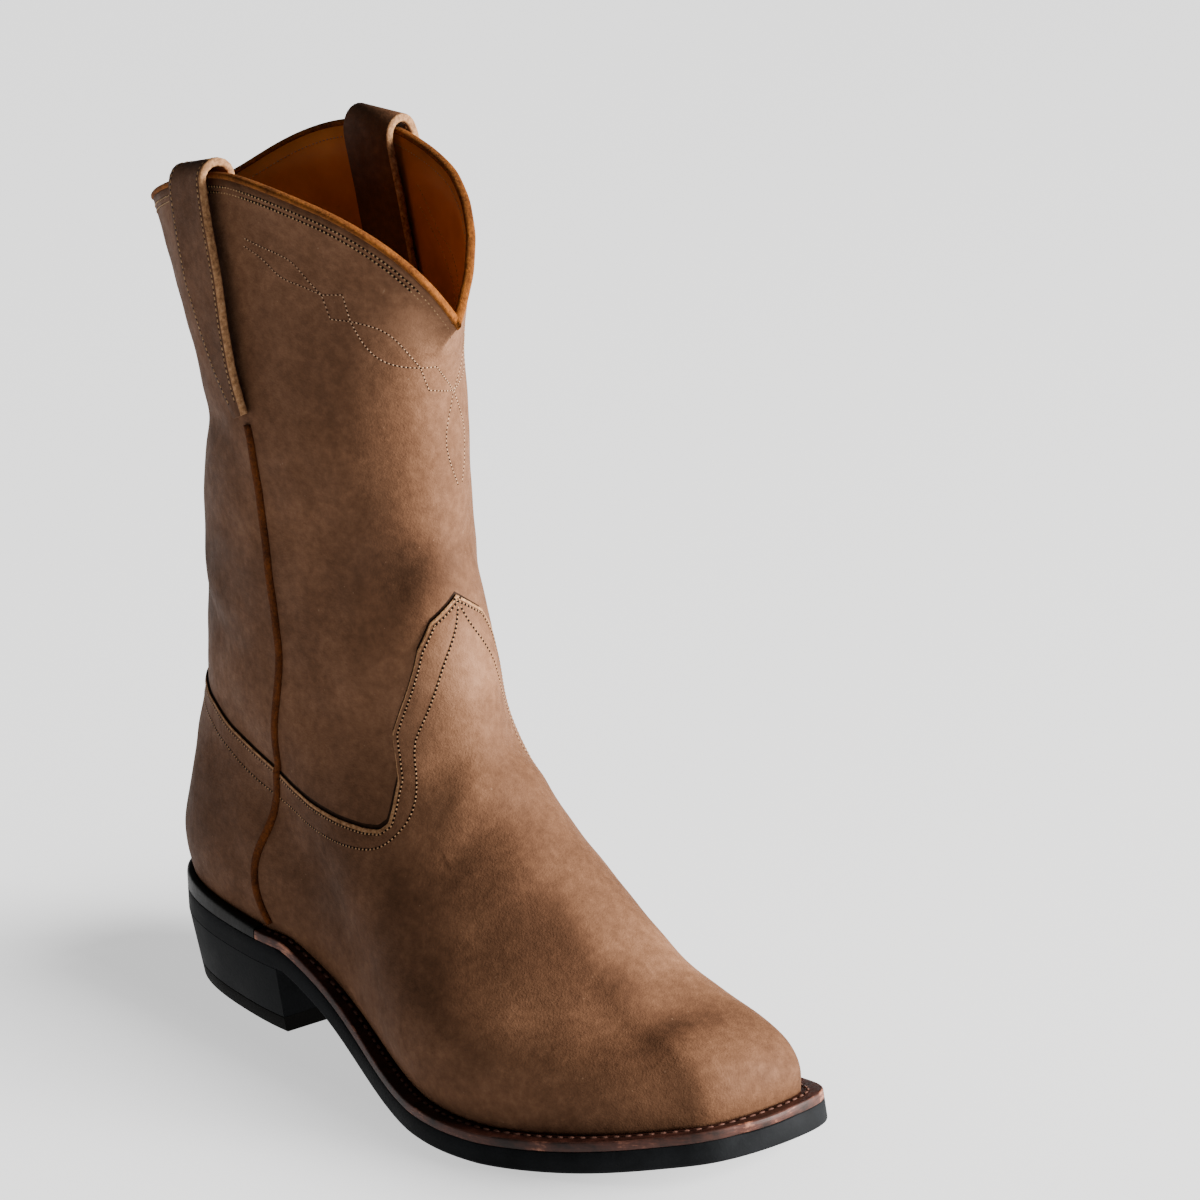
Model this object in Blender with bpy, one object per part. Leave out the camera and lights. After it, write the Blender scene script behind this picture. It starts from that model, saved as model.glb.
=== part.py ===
"""Roper boot, right foot, built as the separate pieces that a boot maker puts together.

Frame: +X points to the toe, +Y to the inner (medial) side, +Z up, in metres.
The origin is the middle of the heel's walking face, and the floor is z = 0.
Every table holds shares of the named sizes above it, unless its heading says otherwise.
"""
import math

import bmesh
import bpy
import numpy as np

MM = 0.001

# Driving sizes of the sole
SOLE_LENGTH = 300 * MM
BALL_WIDTH = 110 * MM
TOE_SWING = 17 * MM
TOE_SWING_POWER = 12
TOE_SPRING = 10.5 * MM
HEEL_HEIGHT = 26 * MM
TOP_LIFT_THICKNESS = 6 * MM
HEEL_TAPER = 4.5 * MM
HEEL_BREAST = 86 * MM
HEEL_BREAST_LEAN = 1.5 * MM
HEEL_SEAT_END = HEEL_BREAST + 0.6 * MM
OUTSOLE_THICKNESS = 8 * MM
OUTSOLE_EDGE_ROUND = 1.2 * MM
WELT_THICKNESS = 3.5 * MM
WELT_WIDTH = 13 * MM
WELT_SHOW = 8.2 * MM
RAND_HEIGHT_BACK = 8 * MM
RAND_HEIGHT_FRONT = 5 * MM
RAND_ROUND = 0.9 * MM
INSOLE_THICKNESS = 3.2 * MM

# Driving sizes of the upper
UPPER_HEIGHT = 278 * MM
SCALLOP_HEIGHT = 42 * MM
SHAFT_WIDTH = 80 * MM
SHAFT_SHIFT = 4 * MM
WALL = 2.2 * MM
OVERLAY_STEP = 1.0 * MM
FLANGE = 6 * MM

# Driving sizes of the straps and the piping
STRAP_WIDTH = 26 * MM
STRAP_THICKNESS = 3.0 * MM
STRAP_LOOP_RISE = 6.5 * MM
STRAP_STAND_OFF = 2.0 * MM
STRAP_POINT = 50 * MM
STRAP_TIP_SHARE = 0.30
STRAP_INSIDE_LENGTH = 62 * MM
STRAP_RIM_CLEARANCE_INSIDE = 3.8 * MM
STRAP_RIM_CLEARANCE_OUTSIDE = 1.8 * MM
STRAP_LINING_CLEARANCE = 2.4 * MM
STRAP_BOW_POWER = 0.8
PIPING_WIDTH = 3.2 * MM
PIPING_HEIGHT = 1.5 * MM
PIPING_FOOT_CLEARANCE = 1.2 * MM
PIPING_TOP_CLEARANCE = 3.3 * MM
BINDING_WIDTH = 3.4 * MM
BINDING_HEIGHT = 2.0 * MM
BINDING_SEAT = 0.8 * MM

GAP = 0.3 * MM
FACET_GAP = 0.45 * MM

# Numbers of points. Around the boot, 0 is the middle of the back, half way the middle of the toe
AROUND = 64
HEEL_POINTS = 29
PIPING_POINTS = 40
STRAP_INSIDE_POINTS = 7
STRAP_LOOP_POINTS = 9
STRAP_OUTSIDE_POINTS = 12
LINING_ROWS = 17
SHARP_ANGLE = 35

HEEL_REST_STATION = 0.14

# Outline of the sole, seen from above. Widths are shares of the ball width, from the heel's axis
OUTLINE = (
    # station, lateral, medial
    (0.000, 0.000, 0.000),
    (0.020, 0.182, 0.175),
    (0.060, 0.275, 0.265),
    (0.120, 0.330, 0.318),
    (0.200, 0.358, 0.345),
    (0.270, 0.362, 0.338),
    (0.360, 0.345, 0.302),
    (0.450, 0.375, 0.302),
    (0.540, 0.440, 0.352),
    (0.620, 0.495, 0.420),
    (0.700, 0.507, 0.473),
    (0.770, 0.461, 0.500),
    (0.840, 0.373, 0.512),
    (0.900, 0.275, 0.495),
    (0.950, 0.169, 0.455),
    (0.980, 0.110, 0.360),
    (1.000, 0.000, 0.000),
)

# Underside of the sole from the side: arch is a share of the heel height, spring of the toe spring
UNDERSIDE = (
    # station, arch, spring
    (0.000, 1.000, 0.000),
    (0.150, 1.000, 0.000),
    (0.292, 1.000, 0.000),
    (0.333, 0.815, 0.000),
    (0.380, 0.575, 0.000),
    (0.427, 0.360, 0.000),
    (0.473, 0.200, 0.000),
    (0.523, 0.090, 0.000),
    (0.573, 0.030, 0.000),
    (0.620, 0.000, 0.000),
    (0.750, 0.000, 0.000),
    (0.800, 0.000, 0.085),
    (0.850, 0.000, 0.225),
    (0.900, 0.000, 0.440),
    (0.950, 0.000, 0.700),
    (1.000, 0.000, 1.000),
)
FLAT_SPOT = (0.620, 0.750)

# How much of the welt shows outside the upper, as a share of the shown width
FEATHER = (
    # station, share
    (0.00, 0.56),
    (0.15, 0.58),
    (0.27, 0.70),
    (0.40, 0.86),
    (0.60, 1.00),
    (0.85, 1.02),
    (1.00, 1.08),
)

# Rings of the upper from the feather line to the collar. Places along are shares of the sole length,
# rises of the upper's height, widths of the feather line or of half the shaft width
RINGS = (
    # name, back x, back rise, front x, front rise, sole curve, foot form, heel fit, ball fit, oval
    ("counter", -0.0010, 0.047, 0.964, 0.0405, 0.95, 1.00, 1.06, 1.02, 1.00),
    ("toe box", 0.0020, 0.088, 0.932, 0.081, 0.85, 1.00, 1.06, 0.95, 1.00),
    ("vamp", 0.0175, 0.144, 0.855, 0.116, 0.65, 0.93, 1.04, 0.84, 1.00),
    ("ball", 0.0130, 0.198, 0.763, 0.178, 0.40, 0.60, 1.02, 0.855, 0.95),
    ("low instep", 0.0130, 0.248, 0.640, 0.274, 0.20, 0.25, 1.00, 0.86, 0.94),
    ("instep", 0.0155, 0.302, 0.538, 0.378, 0.05, 0.05, 1.00, 0.90, 0.94),
    ("ankle", 0.0185, 0.370, 0.517, 0.462, 0.00, 0.00, 1.00, 1.00, 0.93),
    ("low shaft", 0.0300, 0.475, 0.485, 0.568, 0.00, 0.00, 1.00, 1.00, 0.95),
    ("mid shaft", 0.0430, 0.576, 0.468, 0.673, 0.00, 0.00, 1.00, 1.00, 0.975),
    ("high shaft", 0.0630, 0.676, 0.461, 0.773, 0.00, 0.00, 1.00, 1.00, 1.00),
    ("flare", 0.0120, 0.774, 0.470, 0.862, 0.00, 0.00, 1.00, 1.00, 0.98),
    ("collar", -0.0590, 0.882, 0.513, 0.926, 0.00, 0.00, 1.00, 1.00, 0.93),
)
SHAFT_POINT = 0.12

# Height of the edge where vamp and counter lie over the shaft, as a share of the upper's height.
# The edge turns sharply at the notch and at the shoulder of the tongue, so it is read in straight pieces
EDGE_NOTCH = 0.871
EDGE_SHOULDER = 0.975
OVERLAY_EDGE = (
    # place along the ring, rise above the heel's feather line
    (0.00, 0.272),
    (0.10, 0.268),
    (0.18, 0.262),
    (0.25, 0.249),
    (0.34, 0.235),
    (0.43, 0.221),
    (0.54, 0.208),
    (0.64, 0.202),
    (0.71, 0.200),
    (0.75, 0.202),
    (0.78, 0.211),
    (0.81, 0.231),
    (0.85, 0.262),
    (0.864, 0.289),
    (EDGE_NOTCH, 0.317),
    (0.92, 0.386),
    (0.945, 0.425),
    (EDGE_SHOULDER, 0.459),
    (1.00, 0.488),
)

# Rows of points on the upper. Covered rows are shares of the way to the overlay's edge, bare rows of
# the way from there to the collar, and the lip, lining and step are levels on the upper
COVERED_ROWS = (0.0, 0.05, 0.12, 0.20, 0.28, 0.37, 0.46, 0.56, 0.67, 0.79, 0.90, 1.0)
BARE_ROWS = (0.0, 0.08, 0.18, 0.29, 0.40, 0.51, 0.62, 0.72, 0.81, 0.89, 0.95, 1.0)
EDGE_LIP = 0.004
LINING_LOW = 0.014
STEP_LEAD = 0.016
STEP_RUN = 0.012

# Side seams: place along the ring for each rise, as a share of the upper's height
SIDE_SEAM = (
    # rise above the heel's feather line, lateral, medial
    (0.00, 0.268, 0.268),
    (0.12, 0.280, 0.280),
    (0.23, 0.436, 0.436),
    (0.32, 0.536, 0.536),
    (0.42, 0.564, 0.564),
    (0.56, 0.571, 0.571),
    (0.70, 0.520, 0.535),
    (1.00, 0.400, 0.465),
)
STRAP_TIP_RISE = 0.700
SEAM_FOOT_STATION = 0.247

# Rise of the collar's edge between the back and the front, as shares of the scallop's height
SCALLOP = (
    # share of the half turn, lateral, medial
    (0.00, 0.000, 0.000),
    (0.10, 0.004, 0.004),
    (0.20, 0.150, 0.210),
    (0.30, 0.400, 0.550),
    (0.40, 0.670, 0.825),
    (0.50, 0.890, 0.945),
    (0.60, 0.930, 0.930),
    (0.70, 0.862, 0.862),
    (0.80, 0.686, 0.686),
    (0.90, 0.397, 0.397),
    (1.00, 0.000, 0.000),
)

# Sections of the piping and the binding, as shares of their width and height
PIPING_SHAPE = ((-0.5, 0.0), (-0.5, 0.45), (-0.28, 0.9), (0.0, 1.0), (0.28, 0.9), (0.5, 0.45), (0.5, 0.0))
BINDING_SHAPE = ((-0.5, 0.0), (-0.5, 0.5), (-0.25, 0.95), (0.25, 0.95), (0.5, 0.5), (0.5, 0.0))
STRAP_SHAPE = ((-0.5, -0.5), (0.5, -0.5), (0.5, 0.5), (-0.5, 0.5))

# Colours and roughness
LEATHER = ((0.135, 0.085, 0.055, 1.0), 0.62)
INSOLE_LEATHER = ((0.38, 0.22, 0.11, 1.0), 0.55)
WELT_LEATHER = ((0.085, 0.030, 0.020, 1.0), 0.45)
BLACK_RAND = ((0.012, 0.011, 0.011, 1.0), 0.28)
BLACK_RUBBER = ((0.020, 0.021, 0.023, 1.0), 0.55)
RUST_SUEDE = ((0.36, 0.15, 0.045, 1.0), 0.85)


def clear_scene():
    for thing in list(bpy.data.objects):
        bpy.data.objects.remove(thing, do_unlink=True)


def spline(knots, values, at):
    """Natural cubic spline through rows of values, read at the places in at."""
    knots = np.asarray(knots, dtype=float)
    values = np.asarray(values, dtype=float)
    at = np.asarray(at, dtype=float)
    step = np.diff(knots)
    count = len(knots)
    matrix = np.eye(count)
    right = np.zeros((count,) + values.shape[1:])
    rate = (np.diff(values, axis=0).T / step).T
    for row in range(1, count - 1):
        matrix[row, row - 1] = step[row - 1]
        matrix[row, row] = 2 * (step[row - 1] + step[row])
        matrix[row, row + 1] = step[row]
        right[row] = 6 * (rate[row] - rate[row - 1])
    bend = np.linalg.solve(matrix, right.reshape(count, -1)).reshape(right.shape)
    low = np.clip(np.searchsorted(knots, at, side="right") - 1, 0, count - 2)
    width = step[low]
    share = (at - knots[low]) / width
    if values.ndim > 1:
        share = share[..., None]
        width = width[..., None]
    rest = 1 - share
    curve = (rest ** 3 - rest) * bend[low] + (share ** 3 - share) * bend[low + 1]
    return rest * values[low] + share * values[low + 1] + curve * width ** 2 / 6


def column(table, index):
    return [row[index] for row in table]


def station_angle(station):
    return math.acos(1 - 2 * station)


def underside_height(x):
    """Height of the sole's underside above the floor, x measured from the back of the heel."""
    station = np.clip(x / SOLE_LENGTH, 0, 1)
    stations = column(UNDERSIDE, 0)
    arch = spline(stations, column(UNDERSIDE, 1), station)
    spring = spline(stations, column(UNDERSIDE, 2), station)
    height = HEEL_HEIGHT * np.clip(arch, 0, 1) + TOE_SPRING * np.clip(spring, 0, 1)
    height = np.where(x <= HEEL_SEAT_END, HEEL_HEIGHT, height)
    flat = (station >= FLAT_SPOT[0]) & (station <= FLAT_SPOT[1])
    return np.where(flat, 0.0, height)


def outline(angles):
    """Outline of the sole at angles around it, x measured from the back of the heel."""
    turned = np.mod(angles, 2 * math.pi)
    lateral = turned <= math.pi
    half_turn = np.where(lateral, turned, 2 * math.pi - turned)
    knots = [station_angle(station) for station in column(OUTLINE, 0)]
    outer = spline(knots, column(OUTLINE, 1), half_turn)
    inner = spline(knots, column(OUTLINE, 2), half_turn)
    along = (1 - np.cos(half_turn)) / 2
    end = half_turn / math.pi
    tip = TOE_SWING * end ** TOE_SWING_POWER
    side = np.where(lateral, tip - outer * BALL_WIDTH, tip + inner * BALL_WIDTH)
    return np.stack([along * SOLE_LENGTH, side], axis=-1)


def outline_normals(angles):
    """Outward normals of the outline, in the floor plane."""
    turn = 0.004
    tangent = outline(angles + turn) - outline(angles - turn)
    normal = np.stack([tangent[:, 1], -tangent[:, 0]], axis=-1)
    normal /= np.linalg.norm(normal, axis=-1)[:, None]
    return normal


def sole_points(angles, height, inset):
    """Points in from the outline by inset, and height above the underside, square to it."""
    angles = np.asarray(angles, dtype=float)
    place = outline(angles) - outline_normals(angles) * np.reshape(inset, (-1, 1))
    reach = 1 * MM
    slope = (underside_height(place[:, 0] + reach) - underside_height(place[:, 0] - reach)) / (2 * reach)
    length = np.sqrt(1 + slope ** 2)
    along = place[:, 0] - height * slope / length
    level = underside_height(place[:, 0]) + height / length
    return np.stack([along, place[:, 1], level], axis=-1)


def feather_inset(angles):
    station = (1 - np.cos(angles)) / 2
    return WELT_SHOW * spline(column(FEATHER, 0), column(FEATHER, 1), station)


def feather_height(x):
    return underside_height(x) + OUTSOLE_THICKNESS + WELT_THICKNESS + GAP


def ring_points(row, angles, feather):
    """One ring of the upper, from its row in the table."""
    name, back, back_rise, front, front_rise, curve, foot, heel_fit, ball_fit, oval = row
    place = (1 - np.cos(angles)) / 2
    along = (back + (front - back) * place) * SOLE_LENGTH
    back_level = feather_height(back * SOLE_LENGTH)
    front_level = feather_height(front * SOLE_LENGTH)
    straight = back_level + (front_level - back_level) * place
    level = curve * feather_height(along) + (1 - curve) * straight
    level = level + (back_rise + (front_rise - back_rise) * place) * UPPER_HEIGHT
    if name == "collar":
        level = level + SCALLOP_HEIGHT * scallop(angles)
    fit = heel_fit + (ball_fit - heel_fit) * place ** 2
    sine = np.sin(angles)
    pointed = sine * (1 - SHAFT_POINT * np.cos(angles) ** 2)
    across = foot * fit * feather[:, 1] + (1 - foot) * (SHAFT_SHIFT - oval * SHAFT_WIDTH / 2 * pointed)
    return np.stack([along, across, level], axis=-1)


def scallop(angles):
    """Rise of the collar between its two notches, from 0 at the notches to 1 at the sides."""
    turned = np.mod(angles, 2 * math.pi)
    lateral = turned <= math.pi
    share = np.where(lateral, turned, 2 * math.pi - turned) / math.pi
    shares = column(SCALLOP, 0)
    outer = spline(shares, column(SCALLOP, 1), share)
    inner = spline(shares, column(SCALLOP, 2), share)
    return np.where(lateral, outer, inner)


def ring_levels():
    rises = [0.0] + [(row[2] + row[4]) / 2 for row in RINGS]
    return np.array(rises) / rises[-1]


def upper_rows(angles):
    """The feather line and every ring of the table at the given angles."""
    base = OUTSOLE_THICKNESS + WELT_THICKNESS + GAP
    feather = sole_points(angles, base, feather_inset(angles))
    rows = [feather] + [ring_points(row, angles, feather) for row in RINGS]
    return np.stack(rows)


def upper_surface(levels, angles):
    """Outer face of the shaft leather. levels is a grid of rows by angles, from 0 to 1."""
    rows = upper_rows(angles)
    knots = ring_levels()
    points = np.zeros(levels.shape + (3,))
    for index in range(len(angles)):
        points[:, index] = spline(knots, rows[:, index], levels[:, index])
    return points


def surface_normals(levels, angles):
    """Outward normals of the upper's surface, worked out by small steps on it."""
    step = 0.002
    high = upper_surface(np.clip(levels + step, 0, 1), angles)
    low = upper_surface(np.clip(levels - step, 0, 1), angles)
    ahead = upper_surface(levels, angles + step)
    behind = upper_surface(levels, angles - step)
    normal = np.cross(ahead - behind, high - low)
    normal /= np.linalg.norm(normal, axis=-1)[..., None]
    return normal


def level_at_rise(rise, angles):
    """Level on the upper, for each angle, where its surface reaches a height above the heel feather."""
    tries = np.linspace(0, 1, 121)
    grid = np.repeat(tries[:, None], len(angles), axis=1)
    heights = upper_surface(grid, angles)[:, :, 2]
    target = feather_height(0.0) + np.broadcast_to(rise, angles.shape) * UPPER_HEIGHT
    found = [np.interp(target[i], heights[:, i], tries) for i in range(len(angles))]
    return np.array(found)


def edge_levels(angles):
    turned = np.mod(angles, 2 * math.pi)
    half_turn = np.where(turned <= math.pi, turned, 2 * math.pi - turned)
    knots = [station_angle(place) for place in column(OVERLAY_EDGE, 0)]
    rise = np.interp(half_turn, knots, column(OVERLAY_EDGE, 1))
    return level_at_rise(rise, angles)


def to_frame(points):
    """Move points from the back of the heel to the part's origin."""
    moved = np.array(points, dtype=float)
    moved[..., 0] -= HEEL_REST_STATION * SOLE_LENGTH
    return moved


def make_material(name, look):
    colour, roughness = look
    material = bpy.data.materials.new(name)
    material.use_nodes = True
    shader = material.node_tree.nodes["Principled BSDF"]
    shader.inputs["Base Color"].default_value = colour
    shader.inputs["Roughness"].default_value = roughness
    shader.inputs["Metallic"].default_value = 0.0
    return material


def make_object(name, points, faces, look):
    mesh = bpy.data.meshes.new(name)
    mesh.from_pydata([tuple(point) for point in to_frame(points)], [], faces)
    working = bmesh.new()
    working.from_mesh(mesh)
    bmesh.ops.recalc_face_normals(working, faces=working.faces)
    working.to_mesh(mesh)
    working.free()
    mesh.materials.append(make_material(name + "_material", look))
    mesh.shade_smooth()
    mesh.set_sharp_from_angle(angle=math.radians(SHARP_ANGLE))
    made = bpy.data.objects.new(name, mesh)
    bpy.context.scene.collection.objects.link(made)
    return made


def loft_closed(rings):
    """Faces between rings that each close on themselves, the last joined to the first."""
    faces = []
    count = len(rings[0])
    total = len(rings)
    for row in range(total):
        following = (row + 1) % total
        for index in range(count):
            ahead = (index + 1) % count
            faces.append((row * count + index, row * count + ahead,
                          following * count + ahead, following * count + index))
    return faces


def loft_capped(sections):
    """Faces between sections of equal size in a line, with the first and last filled."""
    faces = []
    count = len(sections[0])
    last = len(sections) - 1
    for row in range(last):
        for index in range(count):
            ahead = (index + 1) % count
            faces.append((row * count + index, row * count + ahead,
                          (row + 1) * count + ahead, (row + 1) * count + index))
    faces.append(tuple(range(count)))
    faces.append(tuple(last * count + index for index in range(count)))
    return faces


def ring_cap(first, count):
    """Faces across a ring around the sole: a strip from the back to the toe."""
    faces = [(first, first + 1, first + count - 1)]
    for index in range(1, count // 2 - 1):
        faces.append((first + index, first + index + 1, first + count - index - 1, first + count - index))
    middle = count // 2
    faces.append((first + middle - 1, first + middle, first + middle + 1))
    return faces


def loft_plates(rings):
    """Faces of a plate: walls between the rings and a strip across the first and the last."""
    faces = []
    count = len(rings[0])
    for row in range(len(rings) - 1):
        for index in range(count):
            ahead = (index + 1) % count
            faces.append((row * count + index, row * count + ahead,
                          (row + 1) * count + ahead, (row + 1) * count + index))
    faces += ring_cap(0, count)
    faces += ring_cap((len(rings) - 1) * count, count)
    return faces


def around_angles():
    """Even angles around the boot, moved to the corners of the overlay's edge, and the heel's end."""
    step = 2 * math.pi / AROUND
    angles = np.arange(AROUND) * step
    for place in (EDGE_NOTCH, EDGE_SHOULDER):
        angle = station_angle(place)
        nearest = round(angle / step)
        angles[nearest] = angle
        angles[AROUND - nearest] = 2 * math.pi - angle
    breast = station_angle(HEEL_SEAT_END / SOLE_LENGTH)
    return np.sort(np.append(angles, [breast, 2 * math.pi - breast]))


def arc_angles(start, end):
    """The shared angles between two ends, with the ends themselves."""
    nearest = 0.02
    shared = around_angles()
    shared = np.concatenate([shared - 2 * math.pi, shared])
    inside = shared[(shared > start + nearest) & (shared < end - nearest)]
    return np.concatenate([[start], inside, [end]])


def build_outsole():
    angles = around_angles()
    rings = [
        sole_points(angles, 0.0, OUTSOLE_EDGE_ROUND),
        sole_points(angles, OUTSOLE_EDGE_ROUND, 0.0),
        sole_points(angles, OUTSOLE_THICKNESS, 0.0),
    ]
    return make_object("outsole", np.concatenate(rings), loft_plates(rings), BLACK_RUBBER)


def build_insole():
    angles = around_angles()
    bottom = OUTSOLE_THICKNESS + FACET_GAP
    inset = WELT_WIDTH + FACET_GAP
    rings = [
        sole_points(angles, bottom, inset),
        sole_points(angles, bottom + INSOLE_THICKNESS - GAP, inset),
    ]
    return make_object("insole", np.concatenate(rings), loft_plates(rings), INSOLE_LEATHER)


def heel_ring(level, inset, breast):
    """Ring around the heel at one height, closed by its straight front face."""
    end = station_angle(breast / SOLE_LENGTH)
    angles = np.linspace(-end, end, HEEL_POINTS)
    place = outline(angles) - outline_normals(angles) * inset
    place[:, 0] = np.minimum(place[:, 0], breast)
    place[0, 0] = breast
    place[-1, 0] = breast
    return np.column_stack([place, np.full(len(angles), level)])


def build_heel_piece(name, bottom, top, look):
    """A piece of the heel between two heights, narrower towards the floor."""
    rings = []
    for level in (bottom, top):
        drop = 1 - level / HEEL_HEIGHT
        rings.append(heel_ring(level, HEEL_TAPER * drop, HEEL_BREAST - HEEL_BREAST_LEAN * drop))
    return make_object(name, np.concatenate(rings), loft_capped(rings), look)


def build_welt():
    seam = station_angle(SEAM_FOOT_STATION)
    joint = GAP / SOLE_LENGTH * 2
    angles = arc_angles(seam + joint, 2 * math.pi - seam - joint)
    low = OUTSOLE_THICKNESS + FACET_GAP
    high = OUTSOLE_THICKNESS + WELT_THICKNESS
    corners = [
        sole_points(angles, low, 0.0),
        sole_points(angles, high, 0.0),
        sole_points(angles, high, WELT_WIDTH),
        sole_points(angles, low, WELT_WIDTH),
    ]
    sections = [[corner[i] for corner in corners] for i in range(len(angles))]
    return make_object("welt", np.concatenate(sections), loft_capped(sections), WELT_LEATHER)


def upper_outside(level, angles, stand):
    """Points at a stand off the covered part of the upper, at one level for each angle."""
    grid = np.asarray(level, dtype=float)[None, :]
    return (upper_surface(grid, angles) + surface_normals(grid, angles) * stand)[0]


def build_heel_rand():
    seam = station_angle(SEAM_FOOT_STATION)
    joint = GAP / SOLE_LENGTH * 2
    angles = arc_angles(-seam + joint, seam - joint)
    low = OUTSOLE_THICKNESS + FACET_GAP
    shelf = OUTSOLE_THICKNESS + WELT_THICKNESS
    share = (np.abs(angles) / seam) ** 2
    lip = RAND_HEIGHT_BACK + (RAND_HEIGHT_FRONT - RAND_HEIGHT_BACK) * share
    stand = OVERLAY_STEP + FACET_GAP
    foot_line = upper_outside(np.zeros(len(angles)), angles, stand)
    inner = foot_line.copy()
    inner[:, 2] = sole_points(angles, shelf, 0.0)[:, 2]
    rise = (lip - WELT_THICKNESS - GAP) / UPPER_HEIGHT
    inner_top = upper_outside(level_at_rise(rise, angles), angles, stand)
    outer_top = sole_points(angles, OUTSOLE_THICKNESS, RAND_ROUND)
    outer_top[:, 2] = inner_top[:, 2]
    outer_side = sole_points(angles, OUTSOLE_THICKNESS, 0.0)
    outer_side[:, 2] = inner_top[:, 2] - RAND_ROUND
    corners = [
        sole_points(angles, low, 0.0),
        outer_side,
        outer_top,
        inner_top,
        inner,
        sole_points(angles, shelf, WELT_WIDTH),
        sole_points(angles, low, WELT_WIDTH),
    ]
    sections = [[corner[i] for corner in corners] for i in range(len(angles))]
    return make_object("heel_rand", np.concatenate(sections), loft_capped(sections), BLACK_RAND)


def outer_levels(angles):
    """Levels of the upper's outer rows: below the overlay edge, and from there to the collar."""
    edge = edge_levels(angles)
    start = edge + EDGE_LIP
    covered = np.outer(COVERED_ROWS, edge)
    bare = start + np.outer(BARE_ROWS, 1 - start)
    return covered, bare


def build_upper():
    """One hollow leather solid. Vamp and counter are a step in its wall."""
    angles = around_angles()
    covered, bare = outer_levels(angles)
    raised = upper_surface(covered, angles) + surface_normals(covered, angles) * OVERLAY_STEP
    base = OUTSOLE_THICKNESS + WELT_THICKNESS + GAP
    raised[0, :, 2] = sole_points(angles, base, feather_inset(angles))[:, 2]
    plain = upper_surface(bare, angles)
    lining_levels = np.linspace(LINING_LOW, 1, LINING_ROWS)
    lining_grid = np.repeat(lining_levels[:, None], len(angles), axis=1)
    lining = upper_surface(lining_grid, angles) - surface_normals(lining_grid, angles) * WALL
    flange_inset = feather_inset(angles) + FLANGE
    flange_low = sole_points(angles, base, flange_inset)
    flange_high = sole_points(angles, base + WALL, flange_inset)
    rings = list(plain[::-1]) + list(raised[::-1]) + [flange_low, flange_high] + list(lining)
    return make_object("upper", np.concatenate(rings), loft_closed(rings), LEATHER)


def seam_angles(rises, side):
    """Angle of a side seam at each rise above the heel's feather line: side is 1 or -1."""
    place = spline(column(SIDE_SEAM, 0), column(SIDE_SEAM, 1 if side > 0 else 2), rises)
    return np.arccos(1 - 2 * np.clip(place, 0, 1)) * side


def seam_points(rises, side, stand):
    """Points along a side seam, at a stand off the upper, and the normals there."""
    angles = seam_angles(rises, side)
    points = []
    normals = []
    for rise, angle, off in zip(rises, angles, stand):
        one = np.array([angle])
        level = level_at_rise(rise, one)[None, :]
        normal = surface_normals(level, one)[0, 0]
        points.append(upper_surface(level, one)[0, 0] + normal * off)
        normals.append(normal)
    return np.array(points), np.array(normals)


def strip_sections(points, normals, width, height):
    """Sections of a strip that lies on a surface, with its upper corners rounded off."""
    tangents = np.gradient(points, axis=0)
    across = np.cross(tangents, normals)
    across /= np.linalg.norm(across, axis=-1)[:, None]
    sections = []
    for point, normal, side in zip(points, normals, across):
        sections.append([point + side * width * a + normal * height * b for a, b in PIPING_SHAPE])
    return sections


def build_side_piping(name, side):
    """Suede strip over a side seam, from the strap's tip to the rand."""
    foot_rise = (RAND_HEIGHT_FRONT - WELT_THICKNESS + PIPING_FOOT_CLEARANCE) / UPPER_HEIGHT
    top_rise = STRAP_TIP_RISE - PIPING_TOP_CLEARANCE / UPPER_HEIGHT
    rises = np.linspace(foot_rise, top_rise, PIPING_POINTS)
    angles = seam_angles(rises, side)
    edge = edge_levels(angles)
    level = np.array([level_at_rise(r, np.array([a]))[0] for r, a in zip(rises, angles)])
    share = np.clip((edge + STEP_LEAD - level) / STEP_RUN, 0, 1)
    stand = FACET_GAP + OVERLAY_STEP * share
    points, normals = seam_points(rises, side, stand)
    sections = strip_sections(points, normals, PIPING_WIDTH, PIPING_HEIGHT)
    return make_object(name, np.concatenate(sections), loft_capped(sections), RUST_SUEDE)


def build_collar_binding():
    """Suede binding on the rim of the collar, a closed loop."""
    angles = around_angles()
    top = np.ones((1, len(angles)))
    rim = upper_surface(top, angles)[0]
    normals = surface_normals(top, angles)[0]
    ahead = np.roll(rim, -1, axis=0) - rim
    ahead /= np.linalg.norm(ahead, axis=-1)[:, None]
    along = (ahead + np.roll(ahead, 1, axis=0)) / 2
    bend = np.linalg.norm(along, axis=-1)[:, None]
    upward = np.cross(normals, along)
    upward /= np.linalg.norm(upward, axis=-1)[:, None] * bend
    middle = rim - normals * WALL / 2
    rings = []
    for a, b in BINDING_SHAPE:
        lift = BINDING_SEAT + b * BINDING_HEIGHT
        rings.append(middle + normals * BINDING_WIDTH * a + upward * lift)
    return make_object("collar_binding", np.concatenate(rings), loft_closed(rings), RUST_SUEDE)


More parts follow.
